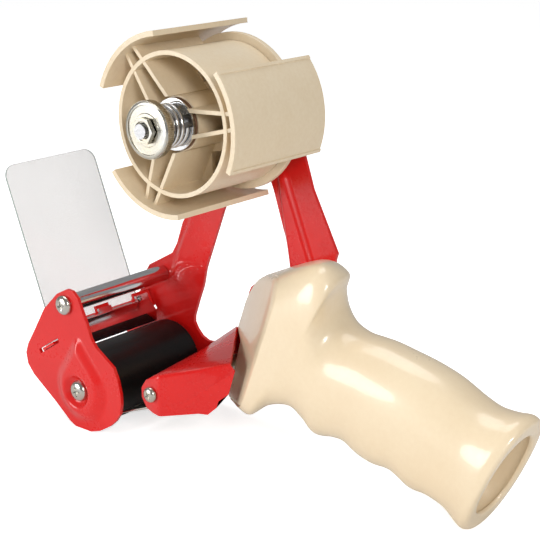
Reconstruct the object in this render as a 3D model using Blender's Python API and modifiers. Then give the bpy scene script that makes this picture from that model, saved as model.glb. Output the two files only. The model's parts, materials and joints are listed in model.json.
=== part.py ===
# Hand-held packing tape dispenser with a hollow pistol grip.
# Metres. +Z up, +X from the cutting nose to the grip, +Y from the open near side to the frame plate.
# Everything is laid out from the reel's axle. At the end the model is moved as a whole, so that it
# stands on z = 0 with the middle of its box over the origin.

import math

import bmesh
import bpy
from mathutils import Matrix, Vector

# Clearances and counts used throughout
part_gap = 0.0003            # between pieces that touch
cut_overrun = 0.003          # how far a cutter runs past what it cuts
weld_distance = 0.000001
round_sides = 32
small_sides = 16
hexagon_sides = 6
corner_steps = 6             # along a rounded sheet corner
sector_steps = 12            # along each edge of a fin or a window in the reel
wire_resolution = 1
sharp_angle = math.radians(35)

# Frame: two sides of pressed sheet
frame_drop = 0.125           # reel axle down to roller axle, the size that the side outlines follow
near_inner = 0.0299          # middle plane of the reel to the near cheek's inner face
far_inner = 0.031            # middle plane of the reel to the far plate's inner face
sheet_thickness = 0.0016
panel_height = 0.0012        # pressed panels on the two arms
dome_height = 0.0022
dome_top_share = 0.8

plate_outline_shares = [
    (-0.3728, -0.4760), (-0.4040, -0.5624), (-0.4296, -0.6040), (-0.5000, -0.6440),
    (-0.5512, -0.6728), (-0.5680, -0.6984), (-0.6040, -0.7880), (-0.6496, -0.8272),
    (-0.6872, -0.8856), (-0.7000, -0.9224), (-0.6928, -0.9632), (-0.6624, -0.9984),
    (-0.5496, -1.0760), (-0.4760, -1.1328), (-0.4480, -1.1456), (-0.3680, -1.1456),
    (-0.3200, -1.1296), (-0.2400, -1.0760), (-0.0800, -1.0080), (0.1440, -0.9560),
    (0.2320, -0.9040), (0.2880, -0.7840), (0.3200, -0.6400), (0.3328, -0.4912),
    (0.3408, -0.4656), (0.2336, -0.2592),
]
plate_top_radius_share = 0.155
plate_top_turns_share = (-0.02, 0.52)      # first and last angle of the rounded top, in turns
plate_front_shares = [(-0.1960, -0.1600), (-0.2688, -0.3088)]
opening_outline_shares = [
    (-0.1544, -0.3888), (-0.2368, -0.6048), (-0.2968, -0.7576), (-0.3224, -0.8304),
    (-0.3232, -0.8544), (-0.3088, -0.8792), (-0.2848, -0.9024), (-0.2552, -0.9144),
    (-0.2240, -0.9120), (-0.1840, -0.8976), (-0.1464, -0.8664), (-0.0944, -0.8144),
    (-0.0504, -0.6800), (-0.0408, -0.6592), (-0.0168, -0.6392), (0.1240, -0.5768),
    (0.1392, -0.5632), (0.1416, -0.5248), (0.1328, -0.4784), (0.1096, -0.4240),
    (0.0632, -0.2856), (0.0208, -0.1880), (0.0032, -0.1728), (-0.0208, -0.1680),
    (-0.0448, -0.1744), (-0.0640, -0.1912),
]
front_panel_shares = [
    (-0.2480, -0.3340), (-0.2920, -0.4480), (-0.3560, -0.6240), (-0.3880, -0.7360),
    (-0.3700, -0.7980), (-0.3480, -0.7980), (-0.3240, -0.7340), (-0.2680, -0.5900),
    (-0.1900, -0.3900), (-0.2040, -0.3240),
]
rear_panel_shares = [
    (0.1392, -0.3052), (0.2244, -0.5028), (0.3004, -0.4716), (0.2148, -0.2840),
    (0.1780, -0.2260), (0.1240, -0.2320),
]
panel_top_share = 0.86

# Near cheek
cheek_outline_shares = [
    (-0.4648, -0.6320), (-0.5168, -0.6592), (-0.5904, -0.7312), (-0.6496, -0.8272),
    (-0.6872, -0.8856), (-0.7000, -0.9224), (-0.6928, -0.9632), (-0.6624, -0.9984),
    (-0.5496, -1.0760), (-0.4760, -1.1328), (-0.4480, -1.1456), (-0.3680, -1.1456),
    (-0.3200, -1.1296), (-0.2696, -1.0992), (-0.2408, -1.0728), (-0.2184, -1.0416),
    (-0.2104, -1.0040), (-0.2120, -0.9632), (-0.2232, -0.9176), (-0.2432, -0.8744),
    (-0.2840, -0.8480), (-0.3264, -0.8216), (-0.3520, -0.7920), (-0.3712, -0.7400),
    (-0.3960, -0.6896), (-0.4104, -0.6568), (-0.4368, -0.6344),
]
dome_outline_shares = [
    (-0.4120, -0.7984), (-0.4480, -0.8220), (-0.4784, -0.8448), (-0.4968, -0.8744),
    (-0.5184, -0.9200), (-0.5312, -0.9656), (-0.5328, -0.9952), (-0.5296, -1.0232),
    (-0.5184, -1.0608), (-0.4936, -1.0952), (-0.4480, -1.1152), (-0.3976, -1.1136),
    (-0.3480, -1.0928), (-0.3088, -1.0560), (-0.2848, -1.0048), (-0.2784, -0.9520),
    (-0.2872, -0.9048), (-0.3104, -0.8608), (-0.3392, -0.8288), (-0.3728, -0.8048),
]
slot_ends_shares = [(-0.6232, -0.9000), (-0.5200, -0.8344)]

# Places on the frame, as shares of frame_drop
roller_centre_share = (-0.4168, -1.0000)
rod_centre_share = (-0.4784, -0.6928)
bracket_screw_share = (-0.0624, -0.9240)
foot_bend_share = (-0.5312, -0.8416)
wall_top_share = (-0.5632, -0.7728)
stripper_bend_share = (-0.4992, -0.8392)
rivet_places_shares = [(-0.1800, -0.9480), (-0.1328, -0.9060)]
handle_screw_shares = [(0.2760, -0.5600), (0.2200, -0.6960), (0.1240, -0.8560)]

# Roller
roller_radius_share = 0.14
roller_radius = roller_radius_share * frame_drop
roller_wall = 0.0045
roller_end_gap = 0.0029
core_end_wall = 0.003
core_wall = 0.002
axle_radius = 0.004
axle_bore_radius = 0.0021
axle_bore_depth = 0.009

# Guide rod
rod_radius = 0.0039
rod_bore_radius = 0.0017
rod_bore_depth = 0.008

# Nose bridge, blade, stripper and flap
bridge_sheet = 0.0015
bridge_end_gap = 0.0005
bridge_gap_width = 0.0161
bridge_gap_depth = 0.0028
hump_half_width = 0.004
blade_thickness = 0.0008
blade_width = 0.0162
blade_tooth_pitch = 0.003
blade_tooth_depth = 0.0024
blade_lead = 0.0018          # how far behind the bend the blade's back edge lies
side_gap = 0.003             # from the sides to the blade's, stripper's and flap's ends
stripper_sheet = 0.001
stripper_flange = 0.0032
stripper_leg_share = 0.0392    # follows the frame, because it reaches almost to the roller
stripper_leg = stripper_leg_share * frame_drop
flap_thickness = 0.001
flap_length = 0.0817
flap_tail_length = 0.0074
flap_lean = math.radians(21.5)
flap_corner = 0.006
flap_hinge_gap = 0.0009      # hinge line to the flap's and the tail's edges
flap_hinge_along = 0.0064    # along the foot from its bend to the flap's hinge line
blade_screw_along = 0.0104
blade_screw_half_span = 0.015

# Fasteners: head radius, head height, shank radius
rod_screw_head = (0.0045, 0.0024, 0.0014)
roller_screw_head = (0.0048, 0.0026, 0.0018)
bracket_screw_head = (0.0034, 0.002, 0.0014)
blade_screw_head = (0.0027, 0.0015, 0.0012)
handle_screw_head = (0.0038, 0.0022, 0.0016)
rivet_head = (0.0026, 0.0012, 0.0014)
stripper_rivet_head = (0.0012, 0.0006, 0.0006)
screw_reach = 0.007
handle_screw_reach = 0.012
blade_nut_radius = 0.0025
blade_nut_height = 0.0017
spacer_radius = 0.0038
spacer_bore_radius = 0.0017

# Rear bracket and roller guard
bracket_turn = 0.6           # how fast the near flange runs in towards the grip, y over x
flange_flat_shares = [
    (-0.0280, -0.8536), (-0.0496, -0.8600), (-0.0848, -0.8768), (-0.1068, -0.9088),
    (-0.1068, -0.9440), (-0.0848, -0.9784), (-0.0560, -0.9900), (-0.0280, -0.9952),
]
flange_turned_shares = [
    (0.0872, -0.9768), (0.1144, -0.9784), (0.1400, -0.9520),
    (0.1464, -0.9272), (0.1760, -0.9008), (0.1944, -0.8192), (0.1816, -0.7976),
]
web_far_shares = [(-0.2280, -0.9260), (-0.2120, -0.9133), (-0.1000, -0.8240)]
tab_shares = [(-0.1040, -0.9560), (-0.1880, -0.9860), (-0.2280, -0.9700)]
web_rows = 6
guard_sheet = 0.001
guard_end_gap = 0.0025
guard_leg_rise = 0.0095
guard_start_share = (-0.2440, -1.0490)
guard_bend_height_share = -0.9920

# Grip
grip_length = 0.140          # the size that the grip's own outline follows
grip_anchor_share = (0.1500, -0.8000)
grip_points = 36
# Each row is one section of the grip. In shares of grip_length: top x and z, bottom x and z, half width
# towards the near side. Then: reach towards the plate as a share of the way there, squareness, and
# how far x and z run back for each unit of y, and how far the far side is pulled forwards.
grip_section_shares = [
    (0.0882, 0.2643, -0.0661, -0.1714, 0.125, 1.050, 9.0, 1.14, 0.42, 0.00),
    (0.2803, 0.3500, 0.0304, -0.1750, 0.129, 1.050, 6.0, 0.60, 0.26, 0.36),
    (0.3661, 0.3250, 0.1175, -0.1221, 0.130, 1.000, 3.8, 0.30, 0.12, 0.78),
    (0.3561, 0.2714, 0.2054, -0.1029, 0.127, 0.880, 3.0, 0.15, 0.05, 1.00),
    (0.3589, 0.2214, 0.2661, -0.1321, 0.124, 0.720, 2.6, 0.05, 0.00, 0.86),
    (0.3804, 0.1843, 0.3089, -0.1686, 0.122, 0.630, 2.4, 0.00, 0.00, 0.54),
    (0.4268, 0.1643, 0.3661, -0.1629, 0.121, 0.575, 2.3, 0.00, 0.00, 0.20),
    (0.4768, 0.1600, 0.4132, -0.1650, 0.121, 0.557, 2.3, 0.00, 0.00, 0.00),
    (0.5232, 0.1571, 0.4589, -0.1900, 0.122, 0.557, 2.3, 0.00, 0.00, 0.00),
    (0.5889, 0.1450, 0.5089, -0.2043, 0.123, 0.560, 2.3, 0.00, 0.00, 0.00),
    (0.6604, 0.1300, 0.5739, -0.2071, 0.122, 0.557, 2.3, 0.00, 0.00, 0.00),
    (0.7375, 0.1064, 0.6375, -0.2400, 0.121, 0.553, 2.3, 0.00, 0.00, 0.00),
    (0.8139, 0.0686, 0.6946, -0.2443, 0.120, 0.548, 2.3, 0.00, 0.00, 0.00),
    (0.8639, 0.0507, 0.7546, -0.2643, 0.120, 0.548, 2.3, 0.00, 0.00, 0.00),
    (0.9161, 0.0493, 0.7946, -0.2993, 0.127, 0.580, 2.2, 0.00, 0.00, 0.00),
    (0.9589, 0.0529, 0.8125, -0.3086, 0.130, 0.594, 2.2, 0.00, 0.00, 0.00),
    (0.9846, 0.0414, 0.8339, -0.3029, 0.124, 0.566, 2.2, 0.00, 0.00, 0.00),
]
grip_top_square = 3.2        # the most that a section's upper half is squared
grip_pull_fall = 0.3         # how far z falls for each unit that the far side is pulled forwards
grip_steps = 2               # sections drawn between two rows
grip_pocket_share = (0.0120, -0.8190)   # corner of the pocket that clears the bracket's tab and tube
mouth_side_wall = 0.0042     # the grip's wall at its mouth, at the sides and at the two ends
mouth_end_wall = 0.0078
bore_side_wall = 0.005
bore_end_wall = 0.0075
bore_depth_sections = 9

# Reel core
fin_radius = 0.038
fin_thickness = 0.0022
fin_length = 0.057
fin_half_angle = math.radians(32)
fin_first_angle = math.radians(9)
fin_count = 3
fin_far_clearance = 0.0025
drum_radius = 0.0298
drum_wall = 0.0018
drum_length = 0.039
boss_radius = 0.0113
boss_length = 0.0345
web_offset = 0.013           # the web's far face back from the drum's far end
web_thickness = 0.002
rib_thickness = 0.0016
rib_outer_half_gap = 0.0026
rib_inner_half_gap = 0.0053
window_inner_radius = 0.0145
window_outer_radius = 0.0238
window_half_angle = math.radians(38)
border_width = 0.0014
border_height = 0.0005
flange_radius = 0.0332
flange_thickness = 0.0027
bush_wall = 0.0016
axle_spacer_length = 0.0124
axle_spacer_radius = 0.0065

# Axle bolt and brake stack
bolt_radius = 0.003
bolt_head_radius = 0.0056
bolt_head_height = 0.004
washer_thickness = 0.001
washer_radius = 0.0065
friction_radius = 0.0109
friction_thickness = 0.0012
pressure_radius = 0.0108
pressure_thickness = 0.001
spring_length = 0.0098
spring_radius = 0.0083
spring_wire = 0.0009         # wire radius
spring_coils = 3
spring_points_per_coil = 10
seat_radius = 0.0098
seat_thickness = 0.0008
wheel_radius = 0.0117
wheel_thickness = 0.0045
wheel_knurls = 36
knurl_depth = 0.0004
insert_radius = 0.0042
collar_radius = 0.0057
collar_thickness = 0.002
bolt_end_length = 0.0012

# The axle's stack, worked out from the far plate towards the open side
far_outer = far_inner + sheet_thickness
near_outer = near_inner + sheet_thickness
flange_far = far_inner - part_gap - axle_spacer_length - part_gap
flange_near = flange_far - flange_thickness
drum_far = flange_near - part_gap
drum_near = drum_far - drum_length
boss_near = drum_far - boss_length
friction_near = boss_near - part_gap - friction_thickness
pressure_near = friction_near - part_gap - pressure_thickness
spring_near = pressure_near - part_gap - spring_length
seat_near = spring_near - part_gap - seat_thickness
wheel_far = seat_near - part_gap
wheel_near = wheel_far - wheel_thickness
collar_near = wheel_near - part_gap - collar_thickness
bolt_end = collar_near - bolt_end_length
fin_far = far_inner - fin_far_clearance
fin_near = fin_far - fin_length
bore_radius = bolt_radius + part_gap


def frame_point(share):
    """A place on the frame, from its shares of frame_drop."""
    return (share[0] * frame_drop, share[1] * frame_drop)


def frame_points(shares):
    return [frame_point(share) for share in shares]


roller_centre = frame_point(roller_centre_share)
rod_centre = frame_point(rod_centre_share)
bracket_screw_centre = frame_point(bracket_screw_share)
foot_bend = frame_point(foot_bend_share)
wall_top = frame_point(wall_top_share)
slot_start, slot_end = frame_points(slot_ends_shares)

# The scene is emptied, and the parts and the cutters get a collection each
for old_object in list(bpy.data.objects):
    bpy.data.objects.remove(old_object)
parts = bpy.data.collections.new("packing_tape_dispenser")
cutters = bpy.data.collections.new("cutters")
bpy.context.scene.collection.children.link(parts)
bpy.context.scene.collection.children.link(cutters)

materials = {}


def material(name, colour, roughness, metallic=0.0, transmission=0.0):
    made = bpy.data.materials.new(name)
    made.use_nodes = True
    shader = made.node_tree.nodes["Principled BSDF"]
    shader.inputs["Base Color"].default_value = (*colour, 1.0)
    shader.inputs["Roughness"].default_value = roughness
    shader.inputs["Metallic"].default_value = metallic
    shader.inputs["Transmission Weight"].default_value = transmission
    materials[name] = made


material("red_paint", (0.78, 0.05, 0.035), 0.25)
material("cream_plastic", (0.84, 0.70, 0.50), 0.25)
material("reel_plastic", (0.80, 0.66, 0.46), 0.35)
material("black_rubber", (0.012, 0.012, 0.014), 0.4)
material("dark_plastic", (0.03, 0.03, 0.03), 0.5)
material("chrome", (0.75, 0.76, 0.78), 0.1, 1.0)
material("zinc", (0.62, 0.64, 0.66), 0.3, 1.0)
material("steel", (0.5, 0.5, 0.52), 0.25, 1.0)
material("brown_fibre", (0.16, 0.09, 0.05), 0.8)
material("clear_plastic", (0.93, 0.95, 0.93), 0.08, 0.0, 0.9)


def clean_mesh(mesh):
    """Welds what touches, and turns the faces out."""
    work = bmesh.new()
    work.from_mesh(mesh)
    bmesh.ops.remove_doubles(work, verts=work.verts, dist=weld_distance)
    bmesh.ops.recalc_face_normals(work, faces=work.faces)
    work.to_mesh(mesh)
    work.free()
    return mesh


def add_part(name, mesh, material_name, matrix=None):
    mesh.name = name
    part = bpy.data.objects.new(name, mesh)
    parts.objects.link(part)
    if matrix:
        part.matrix_world = matrix
    if material_name:
        mesh.materials.clear()
        mesh.materials.append(materials[material_name])
    mesh.shade_smooth()
    mesh.set_sharp_from_angle(angle=sharp_angle)
    return part


def evaluated_mesh(source):
    """The plain mesh of an object with its modifiers, or of a curve, in world space."""
    bpy.context.view_layer.update()
    depsgraph = bpy.context.evaluated_depsgraph_get()
    mesh = bpy.data.meshes.new_from_object(source.evaluated_get(depsgraph))
    mesh.transform(source.matrix_world)
    return clean_mesh(mesh)


def take_mesh(source):
    mesh = evaluated_mesh(source)
    bpy.data.objects.remove(source)
    return mesh


def combine(target, tool_mesh, operation, solver):
    """Joins a mesh to a part or cuts it away with a Boolean."""
    tool = bpy.data.objects.new(target.name + "_tool", tool_mesh)
    cutters.objects.link(tool)
    tool.hide_render = True
    tool.display_type = 'WIRE'
    boolean = target.modifiers.new(operation.lower(), 'BOOLEAN')
    boolean.operation = operation
    boolean.solver = solver
    boolean.object = tool


def join(target, tool_mesh, solver='EXACT'):
    combine(target, tool_mesh, 'UNION', solver)


def cut(target, tool_mesh, solver='EXACT'):
    combine(target, tool_mesh, 'DIFFERENCE', solver)


def add_each(name, meshes, material_name):
    """Alike pieces, each a part of its own, numbered from 1."""
    for number, mesh in enumerate(meshes, 1):
        add_part(f"{name}_{number}", mesh, material_name)


def curve_object(loops, dimensions, closed):
    curve = bpy.data.curves.new("outline", 'CURVE')
    curve.dimensions = dimensions
    for loop in loops:
        spline = curve.splines.new('POLY')
        spline.points.add(len(loop) - 1)
        for point, place in zip(spline.points, loop):
            point.co = (*place, 1)
        spline.use_cyclic_u = closed
    guide = bpy.data.objects.new("outline", curve)
    parts.objects.link(guide)
    return guide


def slab(loops, y_low, y_high):
    """A flat outline in X and Z, with holes, filled from y_low to y_high."""
    flat = [[(x, z, 0) for x, z in loop] for loop in loops]
    guide = curve_object(flat, '2D', True)
    guide.data.fill_mode = 'BOTH'
    guide.data.extrude = (y_high - y_low) / 2
    upright = Matrix.Rotation(math.pi / 2, 4, 'X')
    guide.matrix_world = Matrix.Translation((0, (y_low + y_high) / 2, 0)) @ upright
    return take_mesh(guide)


def wire(points, radius, sides):
    guide = curve_object([points], '3D', False)
    guide.data.bevel_depth = radius
    guide.data.bevel_resolution = sides
    guide.data.use_fill_caps = True
    return take_mesh(guide)


def turned(profile, centre=(0, 0), sides=round_sides):
    """A turned solid on an axis along Y. The profile is (radius, y), from the near end outwards and back."""
    outline = bpy.data.meshes.new("profile")
    points = [(radius, 0, -y) for radius, y in profile]
    edges = [(i, i + 1) for i in range(len(points) - 1)]
    if profile[0][0] > 0:
        edges.append((len(points) - 1, 0))
    outline.from_pydata(points, edges, [])
    lathe = bpy.data.objects.new("profile", outline)
    parts.objects.link(lathe)
    screw = lathe.modifiers.new("turn", 'SCREW')
    screw.steps = sides
    screw.render_steps = sides
    screw.use_merge_vertices = True
    screw.merge_threshold = weld_distance
    place = Matrix.Translation((centre[0], 0, centre[1]))
    lathe.matrix_world = place @ Matrix.Rotation(math.pi / 2, 4, 'X')
    return take_mesh(lathe)


def disc(radius, y_near, y_far, centre=(0, 0), bore=0, sides=round_sides):
    """A plain cylinder or, with a bore, a ring along Y."""
    profile = [(bore, y_near), (radius, y_near), (radius, y_far), (bore, y_far)]
    return turned(profile, centre, sides)


def hexagon(radius, y_near, y_far, bore):
    """A hexagonal nut or collar along Y, with a round bore."""
    outer = arc(radius, 0, 2 * math.pi, hexagon_sides)[:-1]
    inner = arc(bore, 0, 2 * math.pi, small_sides)[:-1]
    return slab([outer, inner], y_near, y_far)


def box(low, high):
    work = bmesh.new()
    bmesh.ops.create_cube(work, size=1)
    size = [b - a for a, b in zip(low, high)]
    middle = [(a + b) / 2 for a, b in zip(low, high)]
    bmesh.ops.scale(work, vec=size, verts=work.verts)
    bmesh.ops.translate(work, vec=middle, verts=work.verts)
    mesh = bpy.data.meshes.new("box")
    work.to_mesh(mesh)
    work.free()
    return mesh


def bent_strip(path, thickness, y_low, y_high):
    """A sheet that follows a path in X and Z, of one thickness, from y_low to y_high."""
    left = []
    right = []
    for index, point in enumerate(path):
        before = path[max(index - 1, 0)]
        after = path[min(index + 1, len(path) - 1)]
        into = Vector(point) - Vector(before)
        out = Vector(after) - Vector(point)
        into = into.normalized() if into.length else out.normalized()
        out = out.normalized() if out.length else into
        along = (into + out).normalized()
        side = Vector((-along.y, along.x)) * (thickness / 2 / max(along.dot(into), thickness))
        left.append(tuple(Vector(point) + side))
        right.append(tuple(Vector(point) - side))
    return slab([left + right[::-1]], y_low, y_high)


def loft(rings):
    """A closed skin over rings with equal numbers of points, capped at both ends."""
    work = bmesh.new()
    rows = [[work.verts.new(point) for point in ring] for ring in rings]
    count = len(rows[0])
    for first, second in zip(rows, rows[1:]):
        for index in range(count):
            after = (index + 1) % count
            work.faces.new((first[index], first[after], second[after], second[index]))
    work.faces.new(rows[0][::-1])
    work.faces.new(rows[-1])
    bmesh.ops.recalc_face_normals(work, faces=work.faces)
    mesh = bpy.data.meshes.new("loft")
    work.to_mesh(mesh)
    work.free()
    return mesh


def pressed(outline, y_base, y_top, top_share):
    """A raised form with sloping sides: an outline at y_base, drawn in to a share of itself at y_top."""
    middle_x = sum(x for x, z in outline) / len(outline)
    middle_z = sum(z for x, z in outline) / len(outline)
    inner = [(middle_x + (x - middle_x) * top_share, middle_z + (z - middle_z) * top_share) for x, z in outline]
    return loft([[(x, y_base, z) for x, z in outline], [(x, y_top, z) for x, z in inner]])


def screw_mesh(centre, seat_y, towards, sizes, reach):
    """A pan head screw along Y. Its head sits at seat_y and its shank runs the way of towards."""
    head_radius, head_height, shank_radius = sizes
    crown = seat_y - towards * head_height
    shoulder = seat_y - towards * head_height / 2
    profile = [
        (0, crown),
        (head_radius / 2, crown),
        (head_radius, shoulder),
        (head_radius, seat_y),
        (shank_radius, seat_y),
        (shank_radius, seat_y + towards * reach),
        (0, seat_y + towards * reach),
    ]
    return turned(profile, centre, small_sides)


def screw_hole(centre, y_near, y_far, radius):
    return disc(radius + part_gap, y_near, y_far, centre, sides=small_sides)


def set_origin(part, place):
    """Puts a moving part's origin on its joint's axis."""
    part.data.transform(Matrix.Translation(-Vector(place)))
    part.matrix_world = Matrix.Translation(place)


def arc(radius, first, last, steps):
    angles = [first + (last - first) * step / steps for step in range(steps + 1)]
    return [(radius * math.cos(angle), radius * math.sin(angle)) for angle in angles]


def sector(inner, outer, middle, half):
    """An outline between two radii and two angles."""
    start = middle - half
    end = middle + half
    return arc(outer, start, end, sector_steps) + arc(inner, end, start, sector_steps)


def sheet_on(start, direction, outline, thickness, lift):
    """A flat sheet square to the X-Z plane. Its outline is (way along direction, y), its middle at lift."""
    guide = curve_object([[(u, v, 0) for u, v in outline]], '2D', True)
    guide.data.fill_mode = 'BOTH'
    guide.data.extrude = thickness / 2
    along = Vector((direction[0], 0, direction[1]))
    across = Vector((0, 1, 0))
    normal = along.cross(across)
    turn = Matrix((along, across, normal)).transposed().to_4x4()
    place = Vector((start[0], 0, start[1])) + normal * lift
    guide.matrix_world = Matrix.Translation(place) @ turn
    return take_mesh(guide)


def across_hole(start, direction, u, v, radius, reach):
    """A round cutter square to a sheet_on sheet, at (u, v) on it."""
    along = Vector((direction[0], 0, direction[1]))
    normal = along.cross(Vector((0, 1, 0)))
    place = Vector((start[0], 0, start[1])) + along * u + Vector((0, v, 0))
    work = bmesh.new()
    bmesh.ops.create_cone(work, cap_ends=True, segments=small_sides, radius1=radius, radius2=radius,
                          depth=2 * reach)
    mesh = bpy.data.meshes.new("hole")
    work.to_mesh(mesh)
    work.free()
    mesh.transform(Matrix.Translation(place) @ normal.to_track_quat('Z', 'Y').to_matrix().to_4x4())
    return mesh


def across_screw(start, direction, u, v, lift, sizes, reach):
    """A pan head screw or rivet square to a sheet_on sheet, its head above it at lift."""
    along = Vector((direction[0], 0, direction[1]))
    normal = along.cross(Vector((0, 1, 0)))
    mesh = screw_mesh((0, 0), 0, 1, sizes, reach)
    mesh.transform(Matrix.Rotation(-math.pi / 2, 4, 'X'))
    mesh.transform(Matrix.Rotation(math.pi, 4, 'X'))
    place = Vector((start[0], 0, start[1])) + along * u + Vector((0, v, 0)) + normal * lift
    mesh.transform(Matrix.Translation(place) @ normal.to_track_quat('Z', 'Y').to_matrix().to_4x4())
    return mesh


def bored_rod(radius, bore, depth, centre):
    """A rod from side to side of the frame, with a blind screw hole in each end."""
    near = -near_inner + part_gap
    far = far_inner - part_gap
    profile = [
        (0, near + depth), (bore, near + depth), (bore, near), (radius, near),
        (radius, far), (bore, far), (bore, far - depth), (0, far - depth),
    ]
    return turned(profile, centre)


def toward(start, end):
    way = Vector(end) - Vector(start)
    return tuple(way.normalized())


foot_direction = toward(foot_bend, slot_start)
wall_direction = toward(foot_bend, wall_top)
tail_lift = -(bridge_sheet / 2 + part_gap + flap_thickness / 2)
blade_lift = bridge_sheet / 2 + part_gap + blade_thickness / 2
foot_normal = (-foot_direction[1], foot_direction[0])
flap_hinge = (
    foot_bend[0] + foot_direction[0] * flap_hinge_along + foot_normal[0] * tail_lift,
    foot_bend[1] + foot_direction[1] * flap_hinge_along + foot_normal[1] * tail_lift,
)
flap_direction = (-math.sin(flap_lean), math.cos(flap_lean))
strip_near = -near_inner + side_gap
strip_far = far_inner - side_gap
slot_width = bridge_sheet + 2 * part_gap


def slot_cutter(y_low, y_high):
    return bent_strip([slot_start, slot_end], slot_width, y_low, y_high)


def build_side_frame():
    outline = frame_points(plate_outline_shares)
    turns = [share * 2 * math.pi for share in plate_top_turns_share]
    outline += arc(plate_top_radius_share * frame_drop, turns[0], turns[1], small_sides)
    outline += frame_points(plate_front_shares)
    opening = frame_points(opening_outline_shares)
    plate = add_part("side_frame", slab([outline, opening], far_inner, far_outer), "red_paint")
    for shares in (front_panel_shares, rear_panel_shares):
        panel = pressed(frame_points(shares), far_inner + sheet_thickness / 2, far_inner - panel_height,
                        panel_top_share)
        join(plate, panel)
    low = far_inner - cut_overrun
    high = far_outer + cut_overrun
    cut(plate, disc(bore_radius, low, high, sides=small_sides))
    cut(plate, slot_cutter(low, high))
    holes = [
        (rod_centre, rod_screw_head),
        (roller_centre, roller_screw_head),
        (bracket_screw_centre, bracket_screw_head),
    ]
    holes += [(frame_point(share), rivet_head) for share in rivet_places_shares]
    holes += [(frame_point(share), handle_screw_head) for share in handle_screw_shares]
    for centre, sizes in holes:
        cut(plate, screw_hole(centre, low, high, sizes[2]))


def build_near_cheek():
    outline = frame_points(cheek_outline_shares)
    cheek = add_part("near_cheek", slab([outline], -near_outer, -near_inner), "red_paint")
    dome = pressed(frame_points(dome_outline_shares), -near_outer + sheet_thickness / 2,
                   -near_outer - dome_height, dome_top_share)
    join(cheek, dome)
    low = -near_outer - dome_height - cut_overrun
    high = -near_inner + cut_overrun
    recess_radius = roller_screw_head[0] + roller_screw_head[1] / 2
    cut(cheek, disc(recess_radius, low, -near_outer + part_gap, roller_centre))
    cut(cheek, screw_hole(roller_centre, low, high, roller_screw_head[2]))
    cut(cheek, screw_hole(rod_centre, low, high, rod_screw_head[2]))
    cut(cheek, slot_cutter(low, high))


def build_nose():
    near = -near_inner + bridge_end_gap
    far = far_inner - bridge_end_gap
    bridge = add_part("nose_bridge", bent_strip([slot_start, foot_bend, wall_top], bridge_sheet, near, far),
                      "red_paint")
    tab_start = tuple(Vector(slot_start).lerp(Vector(foot_bend), part_gap / sheet_thickness))
    tab_end = tuple(Vector(foot_bend).lerp(Vector(slot_start), part_gap / sheet_thickness))
    join(bridge, bent_strip([tab_start, tab_end], bridge_sheet - part_gap, -near_outer, far_outer))

    offset = bridge_sheet / 2 + part_gap + stripper_sheet / 2
    rear = Vector((wall_direction[1], -wall_direction[0])) * offset
    wall = Vector(wall_direction)
    flange_foot = Vector(foot_bend) + rear + wall * (Vector(wall_top) - Vector(foot_bend)).length / 2
    flange_end = flange_foot + wall * stripper_flange
    lip_bend = Vector(frame_point(stripper_bend_share))
    lip_end = lip_bend - Vector((0, stripper_leg))
    path = [tuple(point) for point in (flange_end, flange_foot, lip_bend, lip_end)]
    stripper = add_part("tape_stripper", bent_strip(path, stripper_sheet, strip_near, strip_far), "chrome")

    gap_low = wall_top[1] - bridge_gap_depth
    rivet_u = (flange_end + flange_foot) / 2 - Vector(foot_bend) - rear
    rivet_along = rivet_u.length
    rivet_places = []
    for side in (-1, 1):
        inner = side * hump_half_width
        outer = side * (hump_half_width + bridge_gap_width)
        low = (wall_top[0] - bridge_gap_width, min(inner, outer), gap_low)
        high = (wall_top[0] + bridge_gap_width, max(inner, outer), wall_top[1] + cut_overrun)
        cut(bridge, box(low, high))
        cut(stripper, box(low, high))
        rivet_places.append(outer + side * hump_half_width / 2)
    rivets = []
    for y in rivet_places:
        hole = across_hole(foot_bend, wall_direction, rivet_along, y, stripper_rivet_head[2] + part_gap,
                           cut_overrun)
        cut(bridge, hole)
        cut(stripper, hole.copy())
        lift = -(bridge_sheet / 2 + stripper_sheet + 2 * part_gap)
        reach = bridge_sheet + stripper_sheet + 2 * part_gap
        rivets.append(across_screw(foot_bend, wall_direction, rivet_along, y, lift, stripper_rivet_head, reach))
    add_each("stripper_rivet", rivets, "steel")

    blade = add_part("cutting_blade", sheet_on(foot_bend, foot_direction, blade_outline(), blade_thickness,
                                               blade_lift), "steel")
    tail_start = flap_hinge_along + flap_hinge_gap
    tail_end = tail_start + flap_tail_length - flap_hinge_gap
    tail_outline = [(tail_start, strip_near), (tail_end, strip_near), (tail_end, strip_far), (tail_start, strip_far)]
    tail = add_part("flap_tail", sheet_on(foot_bend, foot_direction, tail_outline, flap_thickness, tail_lift),
                    "clear_plastic")
    screws = []
    nuts = []
    head_seat = tail_lift - flap_thickness / 2 - part_gap
    nut_seat = blade_lift + blade_thickness / 2 + part_gap
    for side in (-1, 1):
        y = side * blade_screw_half_span
        for piece in (bridge, blade, tail):
            cut(piece, across_hole(foot_bend, foot_direction, blade_screw_along, y,
                                   blade_screw_head[2] + part_gap, cut_overrun))
        reach = nut_seat + blade_nut_height - head_seat
        screws.append(across_screw(foot_bend, foot_direction, blade_screw_along, y, head_seat,
                                   blade_screw_head, reach))
        nut = hexagon(blade_nut_radius, nut_seat, nut_seat + blade_nut_height, blade_screw_head[2] + part_gap)
        nut.transform(Matrix.Rotation(math.pi / 2, 4, 'X'))
        along = Vector((foot_direction[0], 0, foot_direction[1]))
        normal = along.cross(Vector((0, 1, 0)))
        place = Vector((foot_bend[0], 0, foot_bend[1])) + along * blade_screw_along + Vector((0, y, 0))
        nut.transform(Matrix.Translation(place) @ normal.to_track_quat('Z', 'Y').to_matrix().to_4x4())
        nuts.append(nut)
    add_each("blade_screw", screws, "zinc")
    add_each("blade_nut", nuts, "zinc")


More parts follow.
